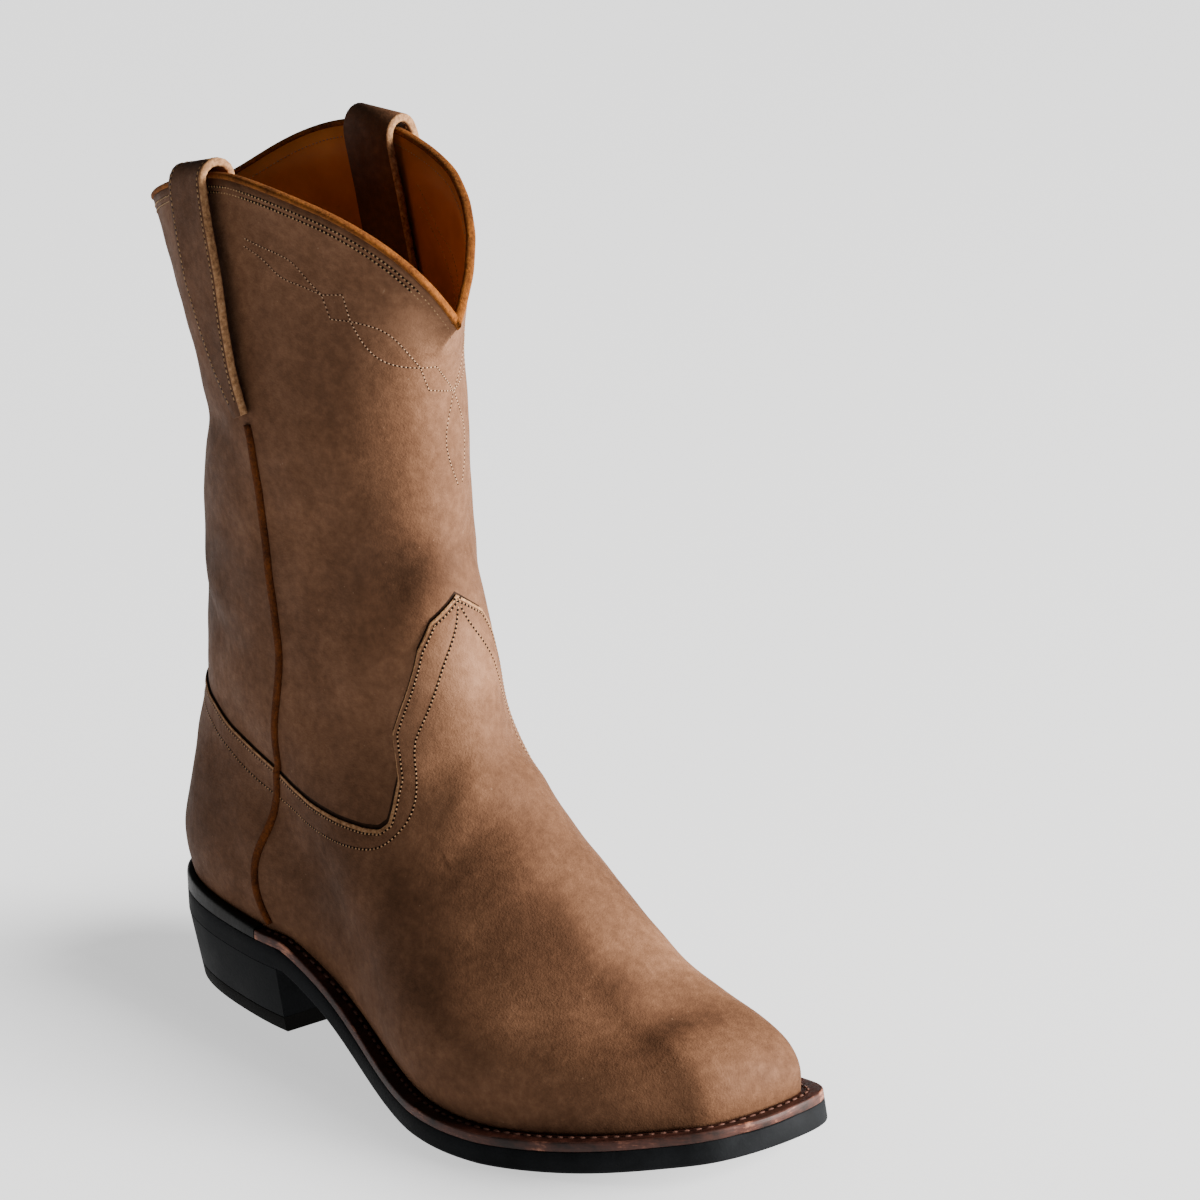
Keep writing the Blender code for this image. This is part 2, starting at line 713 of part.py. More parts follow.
def strap_path(side):
    """Middle line of a pull strap from its inside end over the collar to its outside tip."""
    rim_angle = seam_angles(np.array([1.0]), side)
    rim = upper_surface(np.ones((1, 1)), rim_angle)[0, 0]
    rim_rise = (rim[2] - feather_height(0.0)) / UPPER_HEIGHT
    rim_stand = -(WALL + STRAP_THICKNESS / 2 + STRAP_RIM_CLEARANCE_INSIDE)
    seat_stand = -(WALL + STRAP_THICKNESS / 2 + STRAP_LINING_CLEARANCE)
    share = np.linspace(0, 1, STRAP_INSIDE_POINTS)
    rises = rim_rise - STRAP_INSIDE_LENGTH / UPPER_HEIGHT * (1 - share)
    inside = seam_points(rises, side, seat_stand + (rim_stand - seat_stand) * share)[0]
    share = np.linspace(0, 1, STRAP_OUTSIDE_POINTS)
    rises = rim_rise + (STRAP_TIP_RISE - rim_rise) * share
    seat = STRAP_THICKNESS / 2 + FACET_GAP
    bow = STRAP_STAND_OFF * np.sin(share * math.pi) ** STRAP_BOW_POWER
    stands = seat + STRAP_RIM_CLEARANCE_OUTSIDE * (1 - share) + bow
    outside = seam_points(rises, side, stands)[0]
    middle = (inside[-1] + outside[0]) / 2
    radius = (outside[0] - inside[-1]) / 2
    upward = np.array([0.0, 0.0, 1.0])
    loop = []
    for turn in np.linspace(math.pi, 0, STRAP_LOOP_POINTS)[1:-1]:
        loop.append(middle + radius * math.cos(turn) + upward * STRAP_LOOP_RISE * math.sin(turn))
    return np.concatenate([inside, loop, outside])


def rim_direction(angle):
    """Direction of the collar's edge at one angle, towards the front."""
    step = 0.01
    ends = upper_surface(np.ones((1, 2)), np.array([angle[0] - step, angle[0] + step]))[0]
    direction = (ends[1] - ends[0]) * np.sign(ends[1, 0] - ends[0, 0])
    return direction / np.linalg.norm(direction)


def build_pull_strap(name, side):
    """Folded leather strap: a flat ribbon with a pointed outside end."""
    points = strap_path(side)
    tangents = np.gradient(points, axis=0)
    tangents /= np.linalg.norm(tangents, axis=-1)[:, None]
    travel = np.concatenate([[0], np.cumsum(np.linalg.norm(np.diff(points, axis=0), axis=-1))])
    left = travel[-1] - travel
    reference = rim_direction(seam_angles(np.array([1.0]), side))
    sections = []
    for point, tangent, rest in zip(points, tangents, left):
        across = reference - tangent * np.dot(reference, tangent)
        across /= np.linalg.norm(across)
        outward = np.cross(tangent, across)
        width = STRAP_WIDTH * min(1.0, STRAP_TIP_SHARE + (1 - STRAP_TIP_SHARE) * rest / STRAP_POINT)
        sections.append([point + across * width * a + outward * STRAP_THICKNESS * b for a, b in STRAP_SHAPE])
    return make_object(name, np.concatenate(sections), loft_capped(sections), LEATHER)


def build_boot():
    clear_scene()
    build_heel_piece("top_lift", 0.0, TOP_LIFT_THICKNESS, BLACK_RUBBER)
    build_heel_piece("heel_block", TOP_LIFT_THICKNESS + GAP, HEEL_HEIGHT - GAP, BLACK_RUBBER)
    build_outsole()
    build_insole()
    build_welt()
    build_heel_rand()
    build_upper()
    build_side_piping("side_piping_lateral", 1)
    build_side_piping("side_piping_medial", -1)
    build_collar_binding()
    build_pull_strap("pull_strap_lateral", 1)
    build_pull_strap("pull_strap_medial", -1)


build_boot()
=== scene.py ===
import math

import bpy
import numpy as np
from mathutils import Matrix, Vector


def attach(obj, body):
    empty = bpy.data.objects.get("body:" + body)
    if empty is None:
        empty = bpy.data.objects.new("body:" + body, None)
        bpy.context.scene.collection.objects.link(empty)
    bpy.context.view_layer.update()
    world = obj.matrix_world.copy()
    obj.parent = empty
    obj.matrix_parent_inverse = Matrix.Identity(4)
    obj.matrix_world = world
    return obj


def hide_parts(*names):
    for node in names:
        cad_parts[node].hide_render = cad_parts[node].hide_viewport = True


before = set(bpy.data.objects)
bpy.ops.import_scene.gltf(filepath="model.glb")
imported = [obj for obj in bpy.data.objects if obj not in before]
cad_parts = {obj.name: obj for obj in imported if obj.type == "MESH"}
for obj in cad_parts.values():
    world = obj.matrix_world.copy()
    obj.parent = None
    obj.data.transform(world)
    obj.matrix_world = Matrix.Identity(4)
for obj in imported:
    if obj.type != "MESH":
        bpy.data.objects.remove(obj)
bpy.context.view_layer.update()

MM = 0.001

# Driving sizes of the sole, as in the part
SOLE_LENGTH = 300 * MM
BALL_WIDTH = 110 * MM
TOE_SWING = 17 * MM
TOE_SWING_POWER = 12
TOE_SPRING = 10.5 * MM
HEEL_HEIGHT = 26 * MM
TOP_LIFT_THICKNESS = 6 * MM
HEEL_TAPER = 4.5 * MM
HEEL_BREAST = 86 * MM
HEEL_BREAST_LEAN = 1.5 * MM
HEEL_SEAT_END = HEEL_BREAST + 0.6 * MM
OUTSOLE_THICKNESS = 8 * MM
WELT_THICKNESS = 3.5 * MM
WELT_WIDTH = 13 * MM
WELT_SHOW = 8.2 * MM
RAND_HEIGHT_BACK = 8 * MM
RAND_HEIGHT_FRONT = 5 * MM
INSOLE_THICKNESS = 3.2 * MM

# Driving sizes of the upper, as in the part
UPPER_HEIGHT = 278 * MM
SCALLOP_HEIGHT = 42 * MM
SHAFT_WIDTH = 80 * MM
SHAFT_SHIFT = 4 * MM
SHAFT_POINT = 0.12
WALL = 2.2 * MM
OVERLAY_STEP = 1.0 * MM
FLANGE = 6 * MM
GAP = 0.3 * MM
FEATHER_BASE = OUTSOLE_THICKNESS + WELT_THICKNESS + GAP

# Driving sizes of the straps, the piping and the binding, as in the part
STRAP_WIDTH = 26 * MM
STRAP_THICKNESS = 3.0 * MM
STRAP_LOOP_RISE = 6.5 * MM
STRAP_STAND_OFF = 2.0 * MM
STRAP_POINT = 50 * MM
STRAP_TIP_SHARE = 0.30
STRAP_INSIDE_LENGTH = 62 * MM
STRAP_RIM_CLEARANCE_INSIDE = 3.8 * MM
STRAP_RIM_CLEARANCE_OUTSIDE = 1.8 * MM
STRAP_LINING_CLEARANCE = 2.4 * MM
STRAP_TIP_RISE = 0.700
PIPING_WIDTH = 3.2 * MM
PIPING_HEIGHT = 1.5 * MM
BINDING_WIDTH = 3.4 * MM
BINDING_HEIGHT = 2.0 * MM
SEAM_FOOT_STATION = 0.247
HEEL_REST_STATION = 0.14

# Small clearances and softened edges of the sole's pieces, the rand and the welt
SEAT_GAP = 0.1 * MM
PRESSED_GAP = 0.45 * MM
LOW_EDGE = 0.2 * MM
SOFT_EDGE = 0.3 * MM
OUTSOLE_ROUNDING = 1.4 * MM
HEEL_SEAT_ROUNDING = 0.15 * MM
LIFT_EDGE = 0.6 * MM
INSOLE_EDGE = 0.6 * MM
WELT_EDGE = 0.5 * MM
STRAP_EDGE = 0.6 * MM
STRAP_FACE = 4 * MM
PIPING_FOOT_GAP = 1.2 * MM

# Angles over which an edge is shaded as a sharp one
SHARP_SOLE = math.radians(50)
SHARP_HEEL = math.radians(40)
SHARP_STRAP = math.radians(60)

# How finely each piece is meshed
AROUND = 288
COVERED_ROWS = 84
BARE_ROWS = 120
LINING_ROWS = 60
OUTSOLE_AROUND = 240
HEEL_AROUND = 97
INSOLE_AROUND = 160
WELT_AROUND = 300
RAND_AROUND = 120
PIPING_ALONG = 170
PIPING_ACROSS = 11
BINDING_ACROSS = 14
STRAP_ALONG = 96
STRAP_INSIDE_POINTS = 22
STRAP_OUTSIDE_POINTS = 40
STRAP_LOOP_POINTS = 17

# Outline of the sole, seen from above. Widths are shares of the ball width, from the heel's axis
OUTLINE = (
    # station, lateral, medial
    (0.000, 0.000, 0.000),
    (0.020, 0.182, 0.175),
    (0.060, 0.275, 0.265),
    (0.120, 0.330, 0.318),
    (0.200, 0.358, 0.345),
    (0.270, 0.362, 0.338),
    (0.360, 0.345, 0.302),
    (0.450, 0.375, 0.302),
    (0.540, 0.440, 0.352),
    (0.620, 0.495, 0.420),
    (0.700, 0.507, 0.473),
    (0.770, 0.461, 0.500),
    (0.840, 0.373, 0.512),
    (0.900, 0.275, 0.495),
    (0.950, 0.169, 0.455),
    (0.980, 0.110, 0.360),
    (1.000, 0.000, 0.000),
)

# Underside of the sole from the side: arch is a share of the heel height, spring of the toe spring
UNDERSIDE = (
    # station, arch, spring
    (0.000, 1.000, 0.000),
    (0.150, 1.000, 0.000),
    (0.292, 1.000, 0.000),
    (0.333, 0.815, 0.000),
    (0.380, 0.575, 0.000),
    (0.427, 0.360, 0.000),
    (0.473, 0.200, 0.000),
    (0.523, 0.090, 0.000),
    (0.573, 0.030, 0.000),
    (0.620, 0.000, 0.000),
    (0.750, 0.000, 0.000),
    (0.800, 0.000, 0.085),
    (0.850, 0.000, 0.225),
    (0.900, 0.000, 0.440),
    (0.950, 0.000, 0.700),
    (1.000, 0.000, 1.000),
)
FLAT_SPOT = (0.620, 0.750)

# How much of the welt shows outside the upper, as a share of the shown width
FEATHER = (
    # station, share
    (0.00, 0.56),
    (0.15, 0.58),
    (0.27, 0.70),
    (0.40, 0.86),
    (0.60, 1.00),
    (0.85, 1.02),
    (1.00, 1.08),
)

# Rings of the upper from the feather line to the collar. Places along are shares of the sole length,
# rises of the upper's height, widths of the feather line or of half the shaft width
RINGS = (
    # name, back x, back rise, front x, front rise, sole curve, foot form, heel fit, ball fit, oval
    ("counter", -0.0010, 0.047, 0.964, 0.0405, 0.95, 1.00, 1.06, 1.02, 1.00),
    ("toe box", 0.0020, 0.088, 0.932, 0.081, 0.85, 1.00, 1.06, 0.95, 1.00),
    ("vamp", 0.0175, 0.144, 0.855, 0.116, 0.65, 0.93, 1.04, 0.84, 1.00),
    ("ball", 0.0130, 0.198, 0.763, 0.178, 0.40, 0.60, 1.02, 0.855, 0.95),
    ("low instep", 0.0130, 0.248, 0.640, 0.274, 0.20, 0.25, 1.00, 0.86, 0.94),
    ("instep", 0.0155, 0.302, 0.538, 0.378, 0.05, 0.05, 1.00, 0.90, 0.94),
    ("ankle", 0.0185, 0.370, 0.517, 0.462, 0.00, 0.00, 1.00, 1.00, 0.93),
    ("low shaft", 0.0300, 0.475, 0.485, 0.568, 0.00, 0.00, 1.00, 1.00, 0.95),
    ("mid shaft", 0.0430, 0.576, 0.468, 0.673, 0.00, 0.00, 1.00, 1.00, 0.975),
    ("high shaft", 0.0630, 0.676, 0.461, 0.773, 0.00, 0.00, 1.00, 1.00, 1.00),
    ("flare", 0.0120, 0.774, 0.470, 0.862, 0.00, 0.00, 1.00, 1.00, 0.98),
    ("collar", -0.0590, 0.882, 0.513, 0.926, 0.00, 0.00, 1.00, 1.00, 0.93),
)

# Height of the edge where vamp and counter lie over the shaft, as a share of the upper's height.
# The edge turns sharply at the notch and at the tongue's shoulder, so it is read in straight pieces
EDGE_NOTCH = 0.871
EDGE_SHOULDER = 0.975
OVERLAY_EDGE = (
    # place along the ring, rise above the heel's feather line
    (0.00, 0.272),
    (0.10, 0.268),
    (0.18, 0.262),
    (0.25, 0.249),
    (0.34, 0.235),
    (0.43, 0.221),
    (0.54, 0.208),
    (0.64, 0.202),
    (0.71, 0.200),
    (0.75, 0.202),
    (0.78, 0.211),
    (0.81, 0.231),
    (0.85, 0.262),
    (0.864, 0.289),
    (EDGE_NOTCH, 0.317),
    (0.92, 0.386),
    (0.945, 0.425),
    (EDGE_SHOULDER, 0.459),
    (1.00, 0.488),
)

# Side seams: place along the ring for each rise, as a share of the upper's height
SIDE_SEAM = (
    # rise above the heel's feather line, lateral, medial
    (0.00, 0.268, 0.268),
    (0.12, 0.280, 0.280),
    (0.23, 0.436, 0.436),
    (0.32, 0.536, 0.536),
    (0.42, 0.564, 0.564),
    (0.56, 0.571, 0.571),
    (0.70, 0.520, 0.535),
    (1.00, 0.400, 0.465),
)

# Rise of the collar's edge between the back and the front, as shares of the scallop's height
SCALLOP = (
    # share of the half turn, lateral, medial
    (0.00, 0.000, 0.000),
    (0.10, 0.004, 0.004),
    (0.20, 0.150, 0.210),
    (0.30, 0.400, 0.550),
    (0.40, 0.670, 0.825),
    (0.50, 0.890, 0.945),
    (0.60, 0.930, 0.930),
    (0.70, 0.862, 0.862),
    (0.80, 0.686, 0.686),
    (0.90, 0.397, 0.397),
    (1.00, 0.000, 0.000),
)

# Creases and soft forms of the leather, placed on the lateral (1) or medial (-1) side
CREASES = (
    # depth mm (minus is a trough), width mm, side, points as (place, rise)
    (-1.1, 7.0, 1, ((0.02, 0.62), (0.16, 0.645), (0.30, 0.665), (0.42, 0.655))),
    (0.9, 8.0, 1, ((0.03, 0.67), (0.18, 0.69), (0.32, 0.705))),
    (-1.4, 8.0, 1, ((0.88, 0.47), (0.95, 0.52), (1.00, 0.55))),
    (-1.2, 8.0, -1, ((1.00, 0.55), (0.97, 0.545), (0.90, 0.53))),
    (0.9, 8.0, 1, ((0.86, 0.56), (0.94, 0.60), (1.00, 0.62))),
    (-1.0, 9.0, 1, ((0.60, 0.42), (0.74, 0.47), (0.86, 0.54))),
    (0.9, 9.0, 1, ((0.66, 0.33), (0.78, 0.37), (0.86, 0.42))),
    (-1.0, 8.0, 1, ((0.10, 0.40), (0.24, 0.37), (0.40, 0.36))),
    (0.8, 8.0, 1, ((0.08, 0.45), (0.22, 0.43), (0.38, 0.42))),
    (-1.3, 6.0, 1, ((0.90, 0.27), (0.96, 0.285), (1.00, 0.30))),
    (1.3, 6.5, 1, ((0.90, 0.225), (0.96, 0.245), (1.00, 0.255))),
    (-1.1, 6.0, 1, ((0.84, 0.16), (0.93, 0.20), (1.00, 0.215))),
    (0.7, 6.0, 1, ((0.88, 0.13), (0.95, 0.16), (1.00, 0.175))),
    (-1.3, 6.0, -1, ((1.00, 0.30), (0.95, 0.285), (0.88, 0.27))),
    (1.3, 6.5, -1, ((1.00, 0.255), (0.95, 0.245), (0.88, 0.225))),
    (-0.9, 8.0, -1, ((0.15, 0.42), (0.35, 0.39), (0.60, 0.40))),
    (-1.0, 9.0, -1, ((0.72, 0.42), (0.84, 0.47), (0.93, 0.51))),
)


# Small steps by which directions are worked out: on the outline, on the underside and on the upper
OUTLINE_TURN = 0.004
SLOPE_REACH = 1 * MM
NORMAL_STEP = 0.002
LEVEL_TRIES = 241


def spline(knots, values, at):
    """Natural cubic spline through rows of values, read at the places in at."""
    knots = np.asarray(knots, dtype=float)
    values = np.asarray(values, dtype=float)
    at = np.asarray(at, dtype=float)
    step = np.diff(knots)
    count = len(knots)
    matrix = np.eye(count)
    right = np.zeros((count,) + values.shape[1:])
    rate = (np.diff(values, axis=0).T / step).T
    for row in range(1, count - 1):
        matrix[row, row - 1] = step[row - 1]
        matrix[row, row] = 2 * (step[row - 1] + step[row])
        matrix[row, row + 1] = step[row]
        right[row] = 6 * (rate[row] - rate[row - 1])
    bend = np.linalg.solve(matrix, right.reshape(count, -1)).reshape(right.shape)
    low = np.clip(np.searchsorted(knots, at, side="right") - 1, 0, count - 2)
    width = step[low]
    share = (at - knots[low]) / width
    if values.ndim > 1:
        share = share[..., None]
        width = width[..., None]
    rest = 1 - share
    curve = (rest ** 3 - rest) * bend[low] + (share ** 3 - share) * bend[low + 1]
    return rest * values[low] + share * values[low + 1] + curve * width ** 2 / 6


def column(table, index):
    return [row[index] for row in table]


def unit(vectors):
    return vectors / np.linalg.norm(vectors, axis=-1, keepdims=True)


def travel_along(line):
    """Distance from the line's start at each of its points."""
    return np.concatenate([[0], np.cumsum(np.linalg.norm(np.diff(line, axis=0), axis=-1))])


def read_rows(at, travel, rows):
    """Rows of three values read at distances along the line that they belong to."""
    return np.stack([np.interp(at, travel, rows[:, axis]) for axis in range(3)], axis=-1)


def signed_power(value, power):
    return math.copysign(abs(value) ** power, value)


def half_turns(angles):
    """Angles measured from the back of the heel on either side, and whether the side is lateral."""
    turned = np.mod(angles, 2 * math.pi)
    lateral = turned <= math.pi
    return np.where(lateral, turned, 2 * math.pi - turned), lateral


def station_angle(station):
    return math.acos(1 - 2 * station)


def underside_height(x):
    """Height of the sole's underside above the floor, x measured from the back of the heel."""
    station = np.clip(x / SOLE_LENGTH, 0, 1)
    stations = column(UNDERSIDE, 0)
    arch = spline(stations, column(UNDERSIDE, 1), station)
    spring = spline(stations, column(UNDERSIDE, 2), station)
    height = HEEL_HEIGHT * np.clip(arch, 0, 1) + TOE_SPRING * np.clip(spring, 0, 1)
    height = np.where(x <= HEEL_SEAT_END, HEEL_HEIGHT, height)
    flat = (station >= FLAT_SPOT[0]) & (station <= FLAT_SPOT[1])
    return np.where(flat, 0.0, height)


def outline(angles):
    """Outline of the sole at angles around it, x measured from the back of the heel."""
    half_turn, lateral = half_turns(angles)
    knots = [station_angle(station) for station in column(OUTLINE, 0)]
    outer = spline(knots, column(OUTLINE, 1), half_turn)
    inner = spline(knots, column(OUTLINE, 2), half_turn)
    along = (1 - np.cos(half_turn)) / 2
    tip = TOE_SWING * (half_turn / math.pi) ** TOE_SWING_POWER
    side = np.where(lateral, tip - outer * BALL_WIDTH, tip + inner * BALL_WIDTH)
    return np.stack([along * SOLE_LENGTH, side], axis=-1)


def outline_normals(angles):
    """Outward normals of the outline, in the floor plane."""
    tangent = outline(angles + OUTLINE_TURN) - outline(angles - OUTLINE_TURN)
    return unit(np.stack([tangent[:, 1], -tangent[:, 0]], axis=-1))


def sole_points(angles, height, inset):
    """Points in from the outline by inset, and height above the underside, square to it."""
    angles = np.asarray(angles, dtype=float)
    place = outline(angles) - outline_normals(angles) * np.reshape(inset, (-1, 1))
    ahead = underside_height(place[:, 0] + SLOPE_REACH)
    behind = underside_height(place[:, 0] - SLOPE_REACH)
    slope = (ahead - behind) / (2 * SLOPE_REACH)
    length = np.sqrt(1 + slope ** 2)
    along = place[:, 0] - height * slope / length
    level = underside_height(place[:, 0]) + height / length
    return np.stack([along, place[:, 1], level], axis=-1)


def feather_inset(angles):
    station = (1 - np.cos(angles)) / 2
    return WELT_SHOW * spline(column(FEATHER, 0), column(FEATHER, 1), station)


def feather_height(x):
    return underside_height(x) + FEATHER_BASE


def scallop(angles):
    """Rise of the collar between its two notches, from 0 at the notches to 1 at the sides."""
    half_turn, lateral = half_turns(angles)
    shares = column(SCALLOP, 0)
    outer = spline(shares, column(SCALLOP, 1), half_turn / math.pi)
    inner = spline(shares, column(SCALLOP, 2), half_turn / math.pi)
    return np.where(lateral, outer, inner)


def ring_points(row, angles, feather):
    """One ring of the upper, from its row in the table."""
    name, back, back_rise, front, front_rise, curve, foot, heel_fit, ball_fit, oval = row
    place = (1 - np.cos(angles)) / 2
    along = (back + (front - back) * place) * SOLE_LENGTH
    back_level = feather_height(back * SOLE_LENGTH)
    front_level = feather_height(front * SOLE_LENGTH)
    straight = back_level + (front_level - back_level) * place
    level = curve * feather_height(along) + (1 - curve) * straight
    level = level + (back_rise + (front_rise - back_rise) * place) * UPPER_HEIGHT
    if name == "collar":
        level = level + SCALLOP_HEIGHT * scallop(angles)
    fit = heel_fit + (ball_fit - heel_fit) * place ** 2
    sine = np.sin(angles)
    pointed = sine * (1 - SHAFT_POINT * np.cos(angles) ** 2)
    across = foot * fit * feather[:, 1] + (1 - foot) * (SHAFT_SHIFT - oval * SHAFT_WIDTH / 2 * pointed)
    return np.stack([along, across, level], axis=-1)


def ring_levels():
    rises = [0.0] + [(row[2] + row[4]) / 2 for row in RINGS]
    return np.array(rises) / rises[-1]


def upper_rows(angles):
    """The feather line and every ring of the table at the given angles."""
    feather = sole_points(angles, FEATHER_BASE, feather_inset(angles))
    rows = [feather] + [ring_points(row, angles, feather) for row in RINGS]
    return np.stack(rows)


def upper_surface(levels, angles):
    """Outer face of the shaft leather. levels is a grid of rows by angles, from 0 to 1."""
    rows = upper_rows(angles)
    knots = ring_levels()
    points = np.zeros(levels.shape + (3,))
    for index in range(len(angles)):
        points[:, index] = spline(knots, rows[:, index], levels[:, index])
    return points


def surface_normals(levels, angles):
    """Outward normals of the upper's surface, worked out by small steps on it."""
    high = upper_surface(np.clip(levels + NORMAL_STEP, 0, 1), angles)
    low = upper_surface(np.clip(levels - NORMAL_STEP, 0, 1), angles)
    ahead = upper_surface(levels, angles + NORMAL_STEP)
    behind = upper_surface(levels, angles - NORMAL_STEP)
    return unit(np.cross(ahead - behind, high - low))


def level_at_rise(rise, angles):
    """Level on the upper, for each angle, where its surface reaches a height above the heel feather."""
    tries = np.linspace(0, 1, LEVEL_TRIES)
    grid = np.repeat(tries[:, None], len(angles), axis=1)
    heights = upper_surface(grid, angles)[:, :, 2]
    target = feather_height(0.0) + np.broadcast_to(rise, angles.shape) * UPPER_HEIGHT
    found = [np.interp(target[i], heights[:, i], tries) for i in range(len(angles))]
    return np.array(found)


def edge_levels(angles):
    knots = [station_angle(place) for place in column(OVERLAY_EDGE, 0)]
    rise = np.interp(half_turns(angles)[0], knots, column(OVERLAY_EDGE, 1))
    return level_at_rise(rise, angles)


def seam_angles(rises, side):
    """Angle of a side seam at each rise above the heel's feather line: side is 1 or -1."""
    place = spline(column(SIDE_SEAM, 0), column(SIDE_SEAM, 1 if side > 0 else 2), rises)
    return np.arccos(1 - 2 * np.clip(place, 0, 1)) * side


def to_frame(points):
    """Move points from the back of the heel to the part's origin."""
    moved = np.array(points, dtype=float)
    moved[..., 0] -= HEEL_REST_STATION * SOLE_LENGTH
    return moved


def surface_path(points, side, count):
    """Angles and levels along a smooth line through (place, rise) points on one side."""
    knots = np.linspace(0, 1, len(points))
    line = spline(knots, np.array(points, dtype=float), np.linspace(0, 1, count))
    angles = np.arccos(1 - 2 * np.clip(line[:, 0], 0, 1)) * side
    levels = level_at_rise(line[:, 1], angles)
    return angles, levels


def at_pairs(levels, angles):
    """Surface points and normals at single pairs of level and angle."""
    grid = np.asarray(levels, dtype=float)[None, :]
    return upper_surface(grid, angles)[0], surface_normals(grid, angles)[0]


# Relief of the leather

CREASE_POINTS = 24
CREASE_END_POWER = 0.6
# Slight waves all over: height in mm, and two crossing sines as (along, up, phase) and (side, up, phase)
WAVES = (
    (0.25, (95, 60, 1.0), (80, -55, 0.0)),
    (0.15, (210, -160, 0.0), (190, 150, 2.0)),
)
# The relief starts above the sole and is full a little higher
RELIEF_START = 6 * MM
RELIEF_RISE = 18 * MM


def crease_lines():
    """Each crease as its depth, width, spacing, and points on the surface with their weights."""
    lines = []
    for depth, width, side, points in CREASES:
        angles, levels = surface_path(points, side, CREASE_POINTS)
        line = at_pairs(levels, angles)[0]
        spacing = np.linalg.norm(np.diff(line, axis=0), axis=1).mean()
        weights = np.sin(np.linspace(0, math.pi, len(line))) ** CREASE_END_POWER
        lines.append((depth * MM, width * MM, spacing, line, weights))
    return lines


CREASE_LINES = crease_lines()


def relief(points):
    """Height of the leather's soft forms over the plain surface, at points on it."""
    total = np.zeros(points.shape[:-1])
    for depth, width, spacing, line, weights in CREASE_LINES:
        scale = depth * spacing / (width * math.sqrt(math.pi))
        for centre, weight in zip(line, weights):
            apart = ((points - centre) ** 2).sum(axis=-1)
            total += scale * weight * np.exp(-apart / width ** 2)
    x, y, z = points[..., 0], points[..., 1], points[..., 2]
    for height, along, sideways in WAVES:
        first = np.sin(x * along[0] + z * along[1] + along[2])
        second = np.sin(y * sideways[0] + z * sideways[1] + sideways[2])
        total += height * MM * first * second
    start = feather_height(points[..., 0]) + RELIEF_START
    return total * np.clip((z - start) / RELIEF_RISE, 0, 1)


# Meshes


def make_piece(name, points, faces, materials, node, indices=None):
    """A smooth mesh of the dressed boot. It stands for the CAD node, where one is named."""
    mesh = bpy.data.meshes.new(name)
    mesh.from_pydata([tuple(point) for point in to_frame(points)], [], faces)
    for material in materials:
        mesh.materials.append(material)
    if indices is not None:
        mesh.polygons.foreach_set("material_index", indices)
    mesh.validate()
    mesh.update()
    mesh.shade_smooth()
    piece = bpy.data.objects.new(name, mesh)
    bpy.context.scene.collection.objects.link(piece)
    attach(piece, "root")
    if node:
        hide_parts(node)
    return piece


def store(mesh, name, values):
    """Values for the mesh's points that a material reads by name."""
    attribute = mesh.attributes.new(name, "FLOAT", "POINT")
    attribute.data.foreach_set("value", values)


def grid_faces(rows, count, close_rows=False):
    """Faces of a grid that closes around its second direction."""
    faces = []
    for row in range(rows if close_rows else rows - 1):
        following = (row + 1) % rows
        for index in range(count):
            ahead = (index + 1) % count
            faces.append((row * count + index, row * count + ahead,
                          following * count + ahead, following * count + index))
    return faces


def strip_faces(sections, count):
    """Faces between sections of equal size in a line, with the first and last filled."""
    faces = []
    for row in range(sections - 1):
        for index in range(count):
            ahead = (index + 1) % count
            faces.append((row * count + index, (row + 1) * count + index,
                          (row + 1) * count + ahead, row * count + ahead))
    faces.append(tuple(range(count)))
    faces.append(tuple((sections - 1) * count + index for index in reversed(range(count))))
    return faces


def ring_cap(first, count, upward):
    """Faces across a ring around the sole: a strip from the back to the toe."""
    faces = [(first, first + 1, first + count - 1)]
    for index in range(1, count // 2 - 1):
        faces.append((first + index, first + index + 1, first + count - index - 1, first + count - index))
    middle = count // 2
    faces.append((first + middle - 1, first + middle, first + middle + 1))
    if upward:
        return faces
    return [tuple(reversed(face)) for face in faces]


def fine_angles(count):
    return np.arange(count) * 2 * math.pi / count


# How much closer the columns stand at the notch, how far round that reaches, and samples for it
NOTCH_CROWDING = 2.0
NOTCH_REACH = math.radians(14)
NOTCH_SAMPLES = 2000


def leather_angles():
    """Angles that stand closer near the overlay's notch, with one on each corner of its edge."""
    sample = np.linspace(0, math.pi, NOTCH_SAMPLES)
    apart = (sample - station_angle(EDGE_NOTCH)) / NOTCH_REACH
    travel = np.cumsum(1 + NOTCH_CROWDING * np.exp(-apart ** 2))
    travel = (travel - travel[0]) / (travel[-1] - travel[0])
    half = np.interp(np.linspace(0, 1, AROUND // 2 + 1), travel, sample)
    for place in (EDGE_NOTCH, EDGE_SHOULDER):
        angle = station_angle(place)
        half[np.abs(half - angle).argmin()] = angle
    return np.concatenate([half, 2 * math.pi - half[-2:0:-1]])


# Materials


